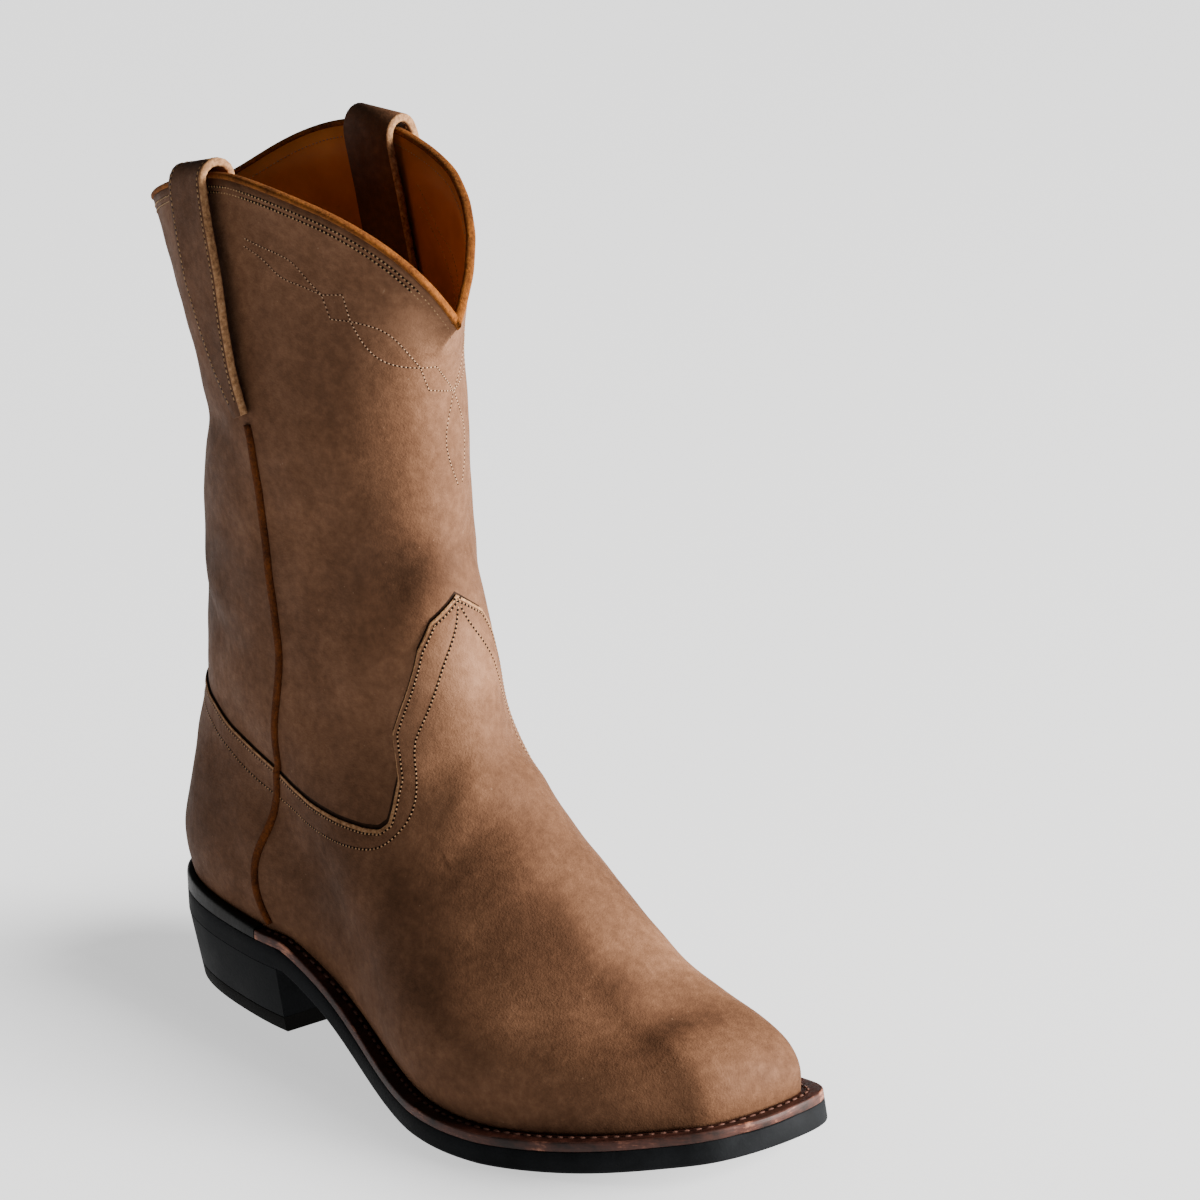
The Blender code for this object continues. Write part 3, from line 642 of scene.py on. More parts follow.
class Look:
    """A material with helpers that add its nodes in reading order."""

    def __init__(self, name):
        self.material = bpy.data.materials.new(name)
        self.material.use_nodes = True
        self.tree = self.material.node_tree
        self.shader = self.tree.nodes["Principled BSDF"]
        self.coordinates = self.tree.nodes.new("ShaderNodeTexCoord").outputs["Object"]

    def link(self, source, target):
        self.tree.links.new(source, target)

    def noise(self, scale, detail=3.0, roughness=0.5, stretch=None, distortion=0.0):
        node = self.tree.nodes.new("ShaderNodeTexNoise")
        node.inputs["Scale"].default_value = scale
        node.inputs["Detail"].default_value = detail
        node.inputs["Roughness"].default_value = roughness
        node.inputs["Distortion"].default_value = distortion
        source = self.coordinates
        if stretch:
            mapping = self.tree.nodes.new("ShaderNodeMapping")
            mapping.inputs["Scale"].default_value = stretch[0]
            mapping.inputs["Rotation"].default_value = stretch[1]
            self.link(source, mapping.inputs["Vector"])
            source = mapping.outputs["Vector"]
        self.link(source, node.inputs["Vector"])
        return node.outputs["Fac"]

    def cells(self, scale):
        node = self.tree.nodes.new("ShaderNodeTexVoronoi")
        node.inputs["Scale"].default_value = scale
        self.link(self.coordinates, node.inputs["Vector"])
        return node.outputs["Distance"]

    def attribute(self, name):
        node = self.tree.nodes.new("ShaderNodeAttribute")
        node.attribute_name = name
        return node.outputs["Fac"]

    def math(self, operation, first, second):
        node = self.tree.nodes.new("ShaderNodeMath")
        node.operation = operation
        for socket, value in zip(node.inputs, (first, second)):
            if isinstance(value, (int, float)):
                socket.default_value = value
            else:
                self.link(value, socket)
        return node.outputs["Value"]

    def weigh(self, *parts):
        """Sum of sources, each times its weight."""
        total = 0.0
        for source, weight in parts:
            total = self.math("ADD", total, self.math("MULTIPLY", source, weight))
        return total

    def ramp(self, factor, stops):
        node = self.tree.nodes.new("ShaderNodeValToRGB")
        elements = node.color_ramp.elements
        while len(elements) < len(stops):
            elements.new(0.5)
        for element, (position, colour) in zip(elements, stops):
            element.position = position
            element.color = colour + (1.0,)
        self.link(factor, node.inputs["Fac"])
        return node.outputs["Color"]

    def span(self, factor, low, high, start=0.0, end=1.0):
        node = self.tree.nodes.new("ShaderNodeMapRange")
        node.inputs["From Min"].default_value = start
        node.inputs["From Max"].default_value = end
        node.inputs["To Min"].default_value = low
        node.inputs["To Max"].default_value = high
        self.link(factor, node.inputs["Value"])
        return node.outputs["Result"]

    def mix(self, factor, first, second):
        """The first colour, with a fixed second one laid over it by the factor."""
        node = self.tree.nodes.new("ShaderNodeMix")
        node.data_type = "RGBA"
        self.link(factor, node.inputs["Factor"])
        self.link(first, node.inputs[6])
        node.inputs[7].default_value = second + (1.0,)
        return node.outputs[2]

    def bump(self, height, distance, strength=1.0, before=None):
        node = self.tree.nodes.new("ShaderNodeBump")
        node.inputs["Distance"].default_value = distance
        node.inputs["Strength"].default_value = strength
        self.link(height, node.inputs["Height"])
        if before is not None:
            self.link(before, node.inputs["Normal"])
        return node.outputs["Normal"]

    def finish(self, colour, roughness, normal=None, **values):
        self.link(colour, self.shader.inputs["Base Color"])
        if isinstance(roughness, (int, float)):
            self.shader.inputs["Roughness"].default_value = roughness
        else:
            self.link(roughness, self.shader.inputs["Roughness"])
        if normal is not None:
            self.link(normal, self.shader.inputs["Normal"])
        for name, value in values.items():
            self.shader.inputs[name.replace("_", " ")].default_value = value
        return self.material


def stock(name, pattern, stops, roughness, specular, bump, grain=None):
    """A material coloured by one noise, with a bump from it or from a finer grain."""
    look = Look(name)
    shade = look.noise(*pattern)
    base = look.ramp(shade, stops)
    nap = look.noise(*grain) if grain else shade
    if isinstance(roughness, tuple):
        roughness = look.span(shade, *roughness)
    return look.finish(base, roughness, look.bump(nap, *bump), Specular_IOR_Level=specular)


def shaft_leather():
    """Oiled brown leather: fine mottling, thin scratches, pale specks and a soft grain, with tone, painted
    shade and painted highlights from a mesh attribute.
    """
    look = Look("oiled_leather")
    clouds = look.noise(18, 3, 0.5, distortion=0.5)
    patches = look.noise(75, 4, 0.6)
    mottle = look.noise(300, 5, 0.7)
    # the attribute carries the leather's tone together with painted shade and painted highlights
    tone_and_painted_light = look.span(look.attribute("tone_and_painted_light"), -0.385, 0.615)
    total = look.weigh((clouds, 0.36), (patches, 0.13), (mottle, 0.28), (tone_and_painted_light, 1.0))
    base = look.ramp(total, [
        (0.00, (0.012, 0.0053, 0.0026)),
        (0.30, (0.045, 0.0200, 0.0098)),
        (0.44, (0.083, 0.0375, 0.0190)),
        (0.52, (0.113, 0.0525, 0.0270)),
        (0.60, (0.153, 0.0730, 0.0385)),
        (1.00, (0.370, 0.1900, 0.1080)),
    ])
    scratch = look.noise(90, 6, 0.8, stretch=((1.0, 1.0, 16.0), (0.5, 0.4, 0.3)))
    lines = look.span(scratch, 0.0, 0.35, 0.66, 0.76)
    base = look.mix(lines, base, (0.230, 0.130, 0.078))
    specks = look.span(look.noise(520, 2, 0.5), 0.0, 0.50, 0.75, 0.79)
    base = look.mix(specks, base, (0.240, 0.140, 0.085))
    grain = look.weigh((look.noise(1500, 3, 0.65), 1.0), (look.cells(1100), 0.5))
    fine = look.bump(grain, 0.00022, 0.6)
    worn = look.bump(look.noise(260, 5, 0.65), 0.0005, 0.3, fine)
    roughness = look.span(patches, 0.80, 0.62, 0.3, 0.7)
    return look.finish(base, roughness, worn, Specular_IOR_Level=0.06)


def suede(name, dark, light):
    """Napped suede of the piping and the collar's binding."""
    look = Look(name)
    nap = look.noise(850, 4, 0.75)
    clouds = look.noise(120, 3, 0.5)
    base = look.ramp(look.weigh((nap, 0.6), (clouds, 0.4)), [(0.35, dark), (0.65, light)])
    return look.finish(base, 0.95, look.bump(nap, 0.0006, 0.7), Specular_IOR_Level=0.1)


def rubber(name, dark, light, rough_low, rough_high):
    """Black rubber with dust and rubbed patches."""
    roughness = (rough_low, rough_high, 0.3, 0.7)
    stops = [(0.35, dark), (0.75, light)]
    return stock(name, (45, 5, 0.6), stops, roughness, 0.04, (0.0002, 0.5), (900, 3, 0.6))


def welt_side():
    """Trimmed edge of the welt, worn pale in patches."""
    look = Look("welt_edge")
    wear = look.noise(70, 5, 0.65)
    streaks = look.noise(160, 4, 0.7, stretch=((1.0, 1.0, 9.0), (0.0, 0.0, 0.0)))
    base = look.ramp(look.weigh((wear, 0.7), (streaks, 0.3)), [
        (0.40, (0.016, 0.008, 0.006)),
        (0.56, (0.060, 0.021, 0.014)),
        (0.68, (0.360, 0.150, 0.090)),
    ])
    return look.finish(base, 0.55, look.bump(streaks, 0.0003, 0.5), Specular_IOR_Level=0.2)


def thread(name, dark, light):
    """Twisted waxed thread."""
    stops = [(0.30, dark), (0.70, light)]
    return stock(name, (1400, 2, 0.6), stops, 0.6, 0.15, (0.0002, 0.5))


# A near black disc of painted shade that stands for the inside of a needle hole
def needle_hole():
    look = Look("needle_hole")
    base = look.ramp(look.noise(600, 2, 0.5), [
        (0.30, (0.0020, 0.0010, 0.0005)),
        (0.80, (0.0070, 0.0035, 0.0020)),
    ])
    return look.finish(base, 0.8, Specular_IOR_Level=0.05)


# Strength of the paper's own light, in the open and under the painted shadow of the boot
FLOOR_GLOW = 1.63
FLOOR_GLOW_SHADED = 0.85


def floor_paper():
    """Back-lit white paper, with a painted shadow that dims it close to the sole."""
    look = Look("floor_paper")
    shade = look.attribute("shade")
    # the painted shadow darkens the paper's colour as well as its glow
    base = look.ramp(shade, [
        (0.00, (0.240, 0.240, 0.240)),
        (1.00, (0.110, 0.112, 0.116)),
    ])
    look.shader.inputs["Emission Color"].default_value = (1.0, 1.0, 1.0, 1.0)
    look.link(look.span(shade, FLOOR_GLOW, FLOOR_GLOW_SHADED), look.shader.inputs["Emission Strength"])
    return look.finish(base, 0.9)


LINING_COLOURS = [
    (0.25, (0.300, 0.092, 0.014)),
    (0.55, (0.430, 0.142, 0.024)),
    (0.80, (0.560, 0.205, 0.040)),
]
CUT_EDGE_COLOURS = [
    (0.30, (0.110, 0.050, 0.022)),
    (0.55, (0.300, 0.155, 0.072)),
    (0.80, (0.460, 0.265, 0.140)),
]
# near black colours of the painted shadow at the overlay's step
PAINTED_STEP_SHADOW_COLOURS = [
    (0.30, (0.010, 0.005, 0.003)),
    (0.80, (0.034, 0.017, 0.009)),
]
RAND_COLOURS = [
    (0.35, (0.0015, 0.0013, 0.001)),
    (0.75, (0.005, 0.004, 0.003)),
]
WELT_COLOURS = [
    (0.30, (0.006, 0.002, 0.0015)),
    (0.60, (0.034, 0.010, 0.0065)),
    (0.85, (0.110, 0.040, 0.026)),
]
INSOLE_COLOURS = [
    (0.30, (0.230, 0.120, 0.055)),
    (0.75, (0.420, 0.240, 0.120)),
]

SHAFT = shaft_leather()
LINING = stock("lining_leather", (30, 4, 0.5), LINING_COLOURS, (0.62, 0.50), 0.12, (0.00015, 0.5),
               (1200, 3, 0.6))
CUT_EDGE = stock("cut_edge_leather", (700, 4, 0.7), CUT_EDGE_COLOURS, 0.8, 0.1, (0.0004, 0.6))
# painted shadow along the wall and foot of the overlay's step
PAINTED_STEP_SHADOW = stock("painted_step_shadow", (500, 4, 0.7), PAINTED_STEP_SHADOW_COLOURS, 0.6, 0.03, (0.0003, 0.5))
PIPING_SUEDE = suede("rust_suede", (0.018, 0.0045, 0.001), (0.110, 0.030, 0.005))
BINDING_SUEDE = suede("tan_suede", (0.045, 0.012, 0.002), (0.210, 0.068, 0.012))
SOLE_RUBBER = rubber("sole_rubber", (0.003, 0.0033, 0.0036), (0.011, 0.0118, 0.013), 0.50, 0.70)
LIFT_RUBBER = rubber("lift_rubber", (0.003, 0.0028, 0.0024), (0.010, 0.009, 0.008), 0.60, 0.80)
RAND = stock("black_rand", (90, 4, 0.6), RAND_COLOURS, (0.35, 0.55), 0.08, (0.0003, 0.4), (400, 3, 0.6))
WELT_TOP = stock("welt_leather", (110, 4, 0.65), WELT_COLOURS, (0.42, 0.62), 0.1, (0.0004, 0.6),
                 (700, 4, 0.65))
WELT_SIDE = welt_side()
TAN_THREAD = thread("tan_thread", (0.150, 0.075, 0.032), (0.380, 0.215, 0.105))
GOLD_THREAD = thread("gold_thread", (0.160, 0.085, 0.034), (0.420, 0.255, 0.125))
PINK_THREAD = thread("pale_thread", (0.200, 0.110, 0.060), (0.480, 0.300, 0.180))
WELT_THREAD = thread("welt_thread", (0.040, 0.016, 0.011), (0.130, 0.060, 0.042))
HOLE = needle_hole()
INSOLE = stock("insole_leather", (60, 4, 0.6), INSOLE_COLOURS, 0.6, 0.5, (0.0003, 0.5), (800, 3, 0.6))

# Where the leather is lighter or darker than its mean: partly its own uneven tone, partly painted shade on
# the back, low on the counter and in folds, and painted highlights on the lit front of the shaft
TONES_AND_PAINTED_LIGHT = (
    # strength, radius mm, side, place, rise
    (0.12, 24, -1, 0.960, 0.74),
    (0.10, 26, -1, 0.955, 0.60),
    (0.42, 12, 1, 0.985, 0.845),
    (0.16, 16, 1, 0.998, 0.78),
    (0.24, 18, 1, 0.985, 0.40),
    (0.12, 22, 1, 0.960, 0.30),
    (-0.30, 16, 1, 0.945, 0.53),
    (-0.10, 26, 1, 0.300, 0.60),
    (-0.14, 30, 1, 0.500, 0.45),
    (-0.46, 34, 1, 0.030, 0.45),
    (-0.26, 26, 1, 0.060, 0.75),
    (-0.12, 30, 1, 0.150, 0.12),
    (-0.20, 34, 1, 0.500, 0.10),
    (-0.16, 26, 1, 0.720, 0.06),
    (0.16, 12, 1, 0.850, 0.13),
    (-0.34, 7, 1, 0.971, 0.018),
    (-0.26, 6, 1, 0.992, 0.024),
    (-0.30, 6, 1, 0.999, 0.027),
    (-0.20, 7, -1, 0.998, 0.027),
    (-0.32, 10, 1, 0.990, 0.062),
    (-0.12, 16, 1, 0.975, 0.115),
    (0.10, 14, -1, 0.990, 0.01),
)


def tones_and_painted_light(points):
    """Tone of the leather with painted shade and painted highlights, 0.5 where it is as the mean."""
    total = np.zeros(points.shape[:-1])
    for strength, radius, side, place, rise in TONES_AND_PAINTED_LIGHT:
        angle = np.array([math.acos(1 - 2 * place) * side])
        centre = at_pairs(level_at_rise(rise, angle), angle)[0][0]
        distance = np.linalg.norm(points - centre, axis=-1)
        total += strength * np.exp(-(distance / (radius * MM)) ** 2)
    return np.clip(0.5 + total * 0.5, 0, 1)


# The upper


# Rows over the overlay's cut edge: places in steps of a level on the upper, and shares of the step
LIP_DROP = 0.0014
LIP_DROPS = (-0.5, -0.1, 0.1, 0.8)
LIP_STANDS = (0.94, 0.74, 0.12, 0.0)
COVERED_END = 3.2
BARE_START = 3.0
# Columns over which the rows below the edge even out its corners
EDGE_SOFTENING = 43
LINING_FOOT = 0.014
UPPER_MATERIALS = [SHAFT, LINING, PAINTED_STEP_SHADOW, CUT_EDGE]


def upper_grids(angles):
    """Levels and stand-offs of the outer rows, from the feather line to the collar."""
    edge = edge_levels(angles)
    top = edge - COVERED_END * LIP_DROP
    window = np.hanning(EDGE_SOFTENING)
    soft = np.convolve(np.tile(top, 3), window / window.sum(), "same")[AROUND:2 * AROUND]
    shares = np.linspace(0, 1, COVERED_ROWS)[:, None]
    below = shares * (soft + (top - soft) * shares)
    lip = [edge + drop * LIP_DROP for drop in LIP_DROPS]
    start = edge + BARE_START * LIP_DROP
    bare = start + np.outer(np.linspace(0, 1, BARE_ROWS), 1 - start)
    levels = np.concatenate([below, lip, bare])
    lip_stands = [OVERLAY_STEP * share for share in LIP_STANDS]
    stands = np.concatenate([np.full(COVERED_ROWS, OVERLAY_STEP), lip_stands, np.zeros(BARE_ROWS)])
    return levels, stands


def build_upper():
    """The hollow upper, with vamp and counter standing over the shaft, and its lining."""
    angles = leather_angles()
    levels, stands = upper_grids(angles)
    surface = upper_surface(levels, angles)
    normals = surface_normals(levels, angles)
    outer = surface + normals * (stands[:, None] + relief(surface))[..., None]
    outer[0, :, 2] = sole_points(angles, FEATHER_BASE, feather_inset(angles))[:, 2]
    lining_levels = np.repeat(np.linspace(1, LINING_FOOT, LINING_ROWS)[:, None], AROUND, axis=1)
    inside = upper_surface(lining_levels, angles)
    inner = inside - surface_normals(lining_levels, angles) * (WALL - relief(inside))[..., None]
    flange = feather_inset(angles) + FLANGE
    flange_high = sole_points(angles, FEATHER_BASE + WALL, flange)
    flange_low = sole_points(angles, FEATHER_BASE, flange)
    rings = list(outer) + list(inner) + [flange_high, flange_low]
    faces = grid_faces(len(rings), AROUND, close_rows=True)
    step_first = COVERED_ROWS - 1
    indices = np.zeros((len(rings), AROUND), dtype=int)
    indices[step_first:step_first + 2] = UPPER_MATERIALS.index(CUT_EDGE)
    # the step's wall and foot: a painted shadow line outside the raised edge
    indices[step_first + 2:step_first + 5] = UPPER_MATERIALS.index(PAINTED_STEP_SHADOW)
    indices[len(outer) - 1:] = UPPER_MATERIALS.index(LINING)
    points = np.concatenate(rings)
    piece = make_piece("upper_leather", points, faces, UPPER_MATERIALS, "upper", indices.ravel())
    # the leather's tone, with painted shade on the back and in folds and painted highlights on the lit
    # front
    store(piece.data, "tone_and_painted_light", tones_and_painted_light(points))


# Sole, heel, welt and rand


def closed_rings(name, rings, material, node):
    """A piece of the sole from its rings, closed below and above."""
    count = len(rings[0])
    faces = grid_faces(len(rings), count)
    faces += ring_cap(0, count, False)
    faces += ring_cap((len(rings) - 1) * count, count, True)
    piece = make_piece(name, np.concatenate(rings), faces, [material], node)
    return piece


def build_outsole():
    """The outsole, with its lower edge rounded in front of the heel."""
    angles = fine_angles(OUTSOLE_AROUND)
    places = outline(angles)[:, 0]
    rounding = np.where(places < HEEL_SEAT_END, HEEL_SEAT_ROUNDING, OUTSOLE_ROUNDING)
    rings = [sole_points(angles, 0.0, rounding)]
    for turn in (0.25, 0.5, 0.75, 1.0):
        angle = turn * math.pi / 2
        height = OUTSOLE_ROUNDING * (1 - math.cos(angle))
        rings.append(sole_points(angles, height, rounding * (1 - math.sin(angle))))
    rings.append(sole_points(angles, OUTSOLE_THICKNESS * 0.5, 0.0))
    rings.append(sole_points(angles, OUTSOLE_THICKNESS - SOFT_EDGE, 0.0))
    rings.append(sole_points(angles, OUTSOLE_THICKNESS, SOFT_EDGE))
    piece = closed_rings("outsole_rubber", rings, SOLE_RUBBER, "outsole")
    piece.data.set_sharp_from_angle(angle=SHARP_SOLE)


def heel_ring(level, inset, breast):
    """Ring around the heel at one height, closed by its straight front face."""
    end = station_angle(breast / SOLE_LENGTH)
    angles = np.linspace(-end, end, HEEL_AROUND)
    place = outline(angles) - outline_normals(angles) * inset
    place[:, 0] = np.minimum(place[:, 0], breast)
    place[0, 0] = breast
    place[-1, 0] = breast
    return np.column_stack([place, np.full(len(angles), level)])


def build_heel_piece(name, node, bottom, top, material, softness):
    """A tapered piece of the heel between two heights, with its edges softened."""
    rings = []
    steps = ((bottom, softness), (bottom + softness, 0.0), (top - LOW_EDGE, 0.0), (top, LOW_EDGE))
    for level, soft in steps:
        drop = 1 - level / HEEL_HEIGHT
        rings.append(heel_ring(level, HEEL_TAPER * drop + soft, HEEL_BREAST - HEEL_BREAST_LEAN * drop))
    count = len(rings[0])
    faces = grid_faces(len(rings), count)
    faces.append(tuple(reversed(range(count))))
    faces.append(tuple((len(rings) - 1) * count + index for index in range(count)))
    piece = make_piece(name, np.concatenate(rings), faces, [material], node)
    piece.data.set_sharp_from_angle(angle=SHARP_HEEL)


def build_insole():
    angles = fine_angles(INSOLE_AROUND)
    inset = WELT_WIDTH + PRESSED_GAP
    bottom = OUTSOLE_THICKNESS + PRESSED_GAP
    top = OUTSOLE_THICKNESS + INSOLE_THICKNESS
    rings = [
        sole_points(angles, bottom, inset),
        sole_points(angles, top - INSOLE_EDGE, inset),
        sole_points(angles, top, inset + INSOLE_EDGE),
    ]
    closed_rings("insole_board", rings, INSOLE, "insole")


def strip_piece(name, corners, materials, node, sides=None):
    """A piece swept from lines of corners. sides gives each face around it its material."""
    count = len(corners)
    sections = len(corners[0])
    points = np.stack(corners, axis=1).reshape(-1, 3)
    indices = None
    if sides:
        indices = list(sides) * (sections - 1) + [1, 1]
    piece = make_piece(name, points, strip_faces(sections, count), materials, node, indices)
    return piece


# Material of each face around the welt and around a strap: 0 is the face leather, 1 the cut side
WELT_SIDES = (1, 1, 1, 1, 0, 0, 0, 0)
STRAP_SIDES = (1, 1, 1, 0, 0, 0, 0, 1, 1, 1, 0, 0)


def build_welt():
    """The welt, round the forepart from side seam to side seam."""
    seam = station_angle(SEAM_FOOT_STATION)
    joint = GAP / SOLE_LENGTH * 2
    angles = np.linspace(seam + joint, 2 * math.pi - seam - joint, WELT_AROUND)
    low = OUTSOLE_THICKNESS + SEAT_GAP
    high = OUTSOLE_THICKNESS + WELT_THICKNESS
    profile = (
        (low, LOW_EDGE),
        (low + SOFT_EDGE, 0.0),
        (high - WELT_EDGE, 0.0),
        (high - WELT_EDGE * 0.3, WELT_EDGE * 0.3),
        (high, WELT_EDGE),
        (high, WELT_WIDTH * 0.4),
        (high, WELT_WIDTH),
        (low, WELT_WIDTH),
    )
    corners = [sole_points(angles, height, inset) for height, inset in profile]
    piece = strip_piece("welt_strip", corners, [WELT_TOP, WELT_SIDE], "welt", WELT_SIDES)
    piece.data.set_sharp_from_angle(angle=SHARP_SOLE)


def upper_outside(level, angles, stand):
    """Points at a stand off the covered part of the upper, at one level for each angle."""
    points, normals = at_pairs(level, angles)
    return points + normals * stand


# Rounding of the rand's top edge: drop below the top and inset, in mm
RAND_ROUNDING = ((2.0, 0.0), (1.1, 0.15), (0.5, 0.5), (0.15, 1.1))


def build_heel_rand():
    """The rand, round the heel from side seam to side seam."""
    seam = station_angle(SEAM_FOOT_STATION)
    joint = GAP / SOLE_LENGTH * 2
    angles = np.linspace(-seam + joint, seam - joint, RAND_AROUND)
    share = (np.abs(angles) / seam) ** 2
    lip = RAND_HEIGHT_BACK + (RAND_HEIGHT_FRONT - RAND_HEIGHT_BACK) * share
    low = OUTSOLE_THICKNESS + SEAT_GAP
    shelf = OUTSOLE_THICKNESS + WELT_THICKNESS
    stand = OVERLAY_STEP + PRESSED_GAP
    inner = upper_outside(np.zeros(len(angles)), angles, stand)
    inner[:, 2] = sole_points(angles, shelf, 0.0)[:, 2]
    rise = (lip - WELT_THICKNESS - GAP) / UPPER_HEIGHT
    inner_top = upper_outside(level_at_rise(rise, angles), angles, stand)
    top = inner_top[:, 2]
    corners = [sole_points(angles, low, LOW_EDGE), sole_points(angles, low + SOFT_EDGE, 0.0)]
    for drop, inset in RAND_ROUNDING:
        corner = sole_points(angles, OUTSOLE_THICKNESS, inset * MM)
        corner[:, 2] = top - drop * MM
        corners.append(corner)
    ledge = (corners[-1] + inner_top) / 2
    ledge[:, 2] = top
    corners += [ledge, inner_top, inner]
    corners += [sole_points(angles, height, WELT_WIDTH) for height in (shelf, low)]
    piece = strip_piece("heel_rand_gloss", corners, [RAND], "heel_rand")
    piece.data.set_sharp_from_angle(angle=SHARP_SOLE)


# Piping, binding and straps


def seam_points(rises, side, stand):
    """Points along a side seam, at a stand off the upper, and the normals there."""
    angles = seam_angles(rises, side)
    levels = level_at_rise(rises, angles)
    points, normals = at_pairs(levels, angles)
    lift = np.asarray(stand) + relief(points)
    return points + normals * lift[:, None], normals


# Roundness of the piping's section, and shares of a level over which it climbs the overlay's edge
PIPING_SHAPE = (0.8, 0.7)
PIPING_CLIMB_TOP = 0.012
PIPING_CLIMB = 0.010
PIPING_END = 0.012


def build_side_piping(name, side):
    """Suede strip over a side seam, from the strap's tip to the rand."""
    foot_rise = (RAND_HEIGHT_FRONT - WELT_THICKNESS + PIPING_FOOT_GAP) / UPPER_HEIGHT
    rises = np.linspace(foot_rise, STRAP_TIP_RISE - PIPING_END, PIPING_ALONG)
    angles = seam_angles(rises, side)
    level = level_at_rise(rises, angles)
    share = np.clip((edge_levels(angles) + PIPING_CLIMB_TOP - level) / PIPING_CLIMB, 0, 1)
    share = share * share * (3 - 2 * share)
    points, normals = seam_points(rises, side, OVERLAY_STEP * share - SEAT_GAP)
    tangents = np.gradient(points, axis=0)
    across = unit(np.cross(tangents, normals))
    sections = []
    for turn in np.linspace(0, math.pi, PIPING_ACROSS):
        flat = signed_power(math.cos(turn), PIPING_SHAPE[0]) * PIPING_WIDTH / 2
        lift = math.sin(turn) ** PIPING_SHAPE[1] * (PIPING_HEIGHT + SEAT_GAP)
        sections.append(points + across * flat + normals * lift)
    strip_piece(name + "_suede", sections, [PIPING_SUEDE], name)


def rim_line(angles):
    """Points of the collar's edge with outward and upward directions."""
    top = np.ones((1, len(angles)))
    rim = upper_surface(top, angles)[0]
    normals = surface_normals(top, angles)[0]
    rim = rim + normals * relief(rim)[:, None]
    ahead = unit(np.roll(rim, -1, axis=0) - rim)
    along = (ahead + np.roll(ahead, 1, axis=0)) / 2
    upward = np.cross(normals, along)
    upward /= np.linalg.norm(upward, axis=-1)[:, None] * np.linalg.norm(along, axis=-1)[:, None]
    return rim, normals, upward


# Roundness of the binding's section, and the height of its middle as a share of its own
BINDING_SHAPE = 0.75
BINDING_MIDDLE = 0.45


def build_collar_binding():
    """Suede binding on the rim of the collar, a closed loop."""
    angles = fine_angles(AROUND)
    rim, normals, upward = rim_line(angles)
    middle = rim - normals * WALL / 2
    rings = []
    for turn in fine_angles(BINDING_ACROSS):
        flat = signed_power(math.cos(turn), BINDING_SHAPE) * BINDING_WIDTH / 2
        rise = signed_power(math.sin(turn), BINDING_SHAPE)
        lift = BINDING_HEIGHT * (BINDING_MIDDLE + (1 - BINDING_MIDDLE) * rise)
        rings.append(middle + normals * flat + upward * lift)
    faces = grid_faces(len(rings), AROUND, close_rows=True)
    faces = [tuple(reversed(face)) for face in faces]
    piece = make_piece("collar_suede", np.concatenate(rings), faces, [BINDING_SUEDE], "collar_binding")


# The strap's bow off the shaft, how often its line is eased, its tone, and a step along the rim
STRAP_BOW_POWER = 0.8
STRAP_EASINGS = 6
STRAP_TONE = 0.42
RIM_TURN = 0.01


def strap_path(side):
    """Middle line of a pull strap from its inside end over the collar to its outside tip."""
    rim_angle = seam_angles(np.array([1.0]), side)
    rim = upper_surface(np.ones((1, 1)), rim_angle)[0, 0]
    rim_rise = (rim[2] - feather_height(0.0)) / UPPER_HEIGHT
    rim_stand = -(WALL + STRAP_THICKNESS / 2 + STRAP_RIM_CLEARANCE_INSIDE)
    seat_stand = -(WALL + STRAP_THICKNESS / 2 + STRAP_LINING_CLEARANCE)
    share = np.linspace(0, 1, STRAP_INSIDE_POINTS)
    rises = rim_rise - STRAP_INSIDE_LENGTH / UPPER_HEIGHT * (1 - share)
    inside = seam_points(rises, side, seat_stand + (rim_stand - seat_stand) * share)[0]
    share = np.linspace(0, 1, STRAP_OUTSIDE_POINTS)
    rises = rim_rise + (STRAP_TIP_RISE - rim_rise) * share
    seat = STRAP_THICKNESS / 2 + PRESSED_GAP
    bow = STRAP_STAND_OFF * np.sin(share * math.pi) ** STRAP_BOW_POWER
    stands = seat + STRAP_RIM_CLEARANCE_OUTSIDE * (1 - share) + bow
    outside = seam_points(rises, side, stands)[0]
    middle = (inside[-1] + outside[0]) / 2
    radius = (outside[0] - inside[-1]) / 2
    upward = np.array([0.0, 0.0, 1.0])
    loop = []
    for turn in np.linspace(math.pi, 0, STRAP_LOOP_POINTS)[1:-1]:
        loop.append(middle + radius * math.cos(turn) + upward * STRAP_LOOP_RISE * math.sin(turn))
    return np.concatenate([inside, loop, outside])


def rim_direction(angle):
    """Direction of the collar's edge at one angle, towards the front."""
    ends = upper_surface(np.ones((1, 2)), np.array([angle[0] - RIM_TURN, angle[0] + RIM_TURN]))[0]
    return unit((ends[1] - ends[0]) * np.sign(ends[1, 0] - ends[0, 0]))


def smooth_line(points, count):
    """The same line with even spacing and its corners eased."""
    travel = travel_along(points)
    line = read_rows(np.linspace(0, travel[-1], count), travel, points)
    for _ in range(STRAP_EASINGS):
        line[1:-1] = (line[:-2] + 2 * line[1:-1] + line[2:]) / 4
    return line


def strap_frames(side):
    """Middle line of a strap with its across and outward directions and half widths."""
    points = smooth_line(strap_path(side), STRAP_ALONG)
    tangents = unit(np.gradient(points, axis=0))
    reference = rim_direction(seam_angles(np.array([1.0]), side))
    across = unit(reference - tangents * (tangents @ reference)[:, None])
    outward = np.cross(tangents, across)
    travel = travel_along(points)
    left = travel[-1] - travel
    half = STRAP_WIDTH / 2 * np.minimum(1.0, STRAP_TIP_SHARE + (1 - STRAP_TIP_SHARE) * left / STRAP_POINT)
    return points, across, outward, half


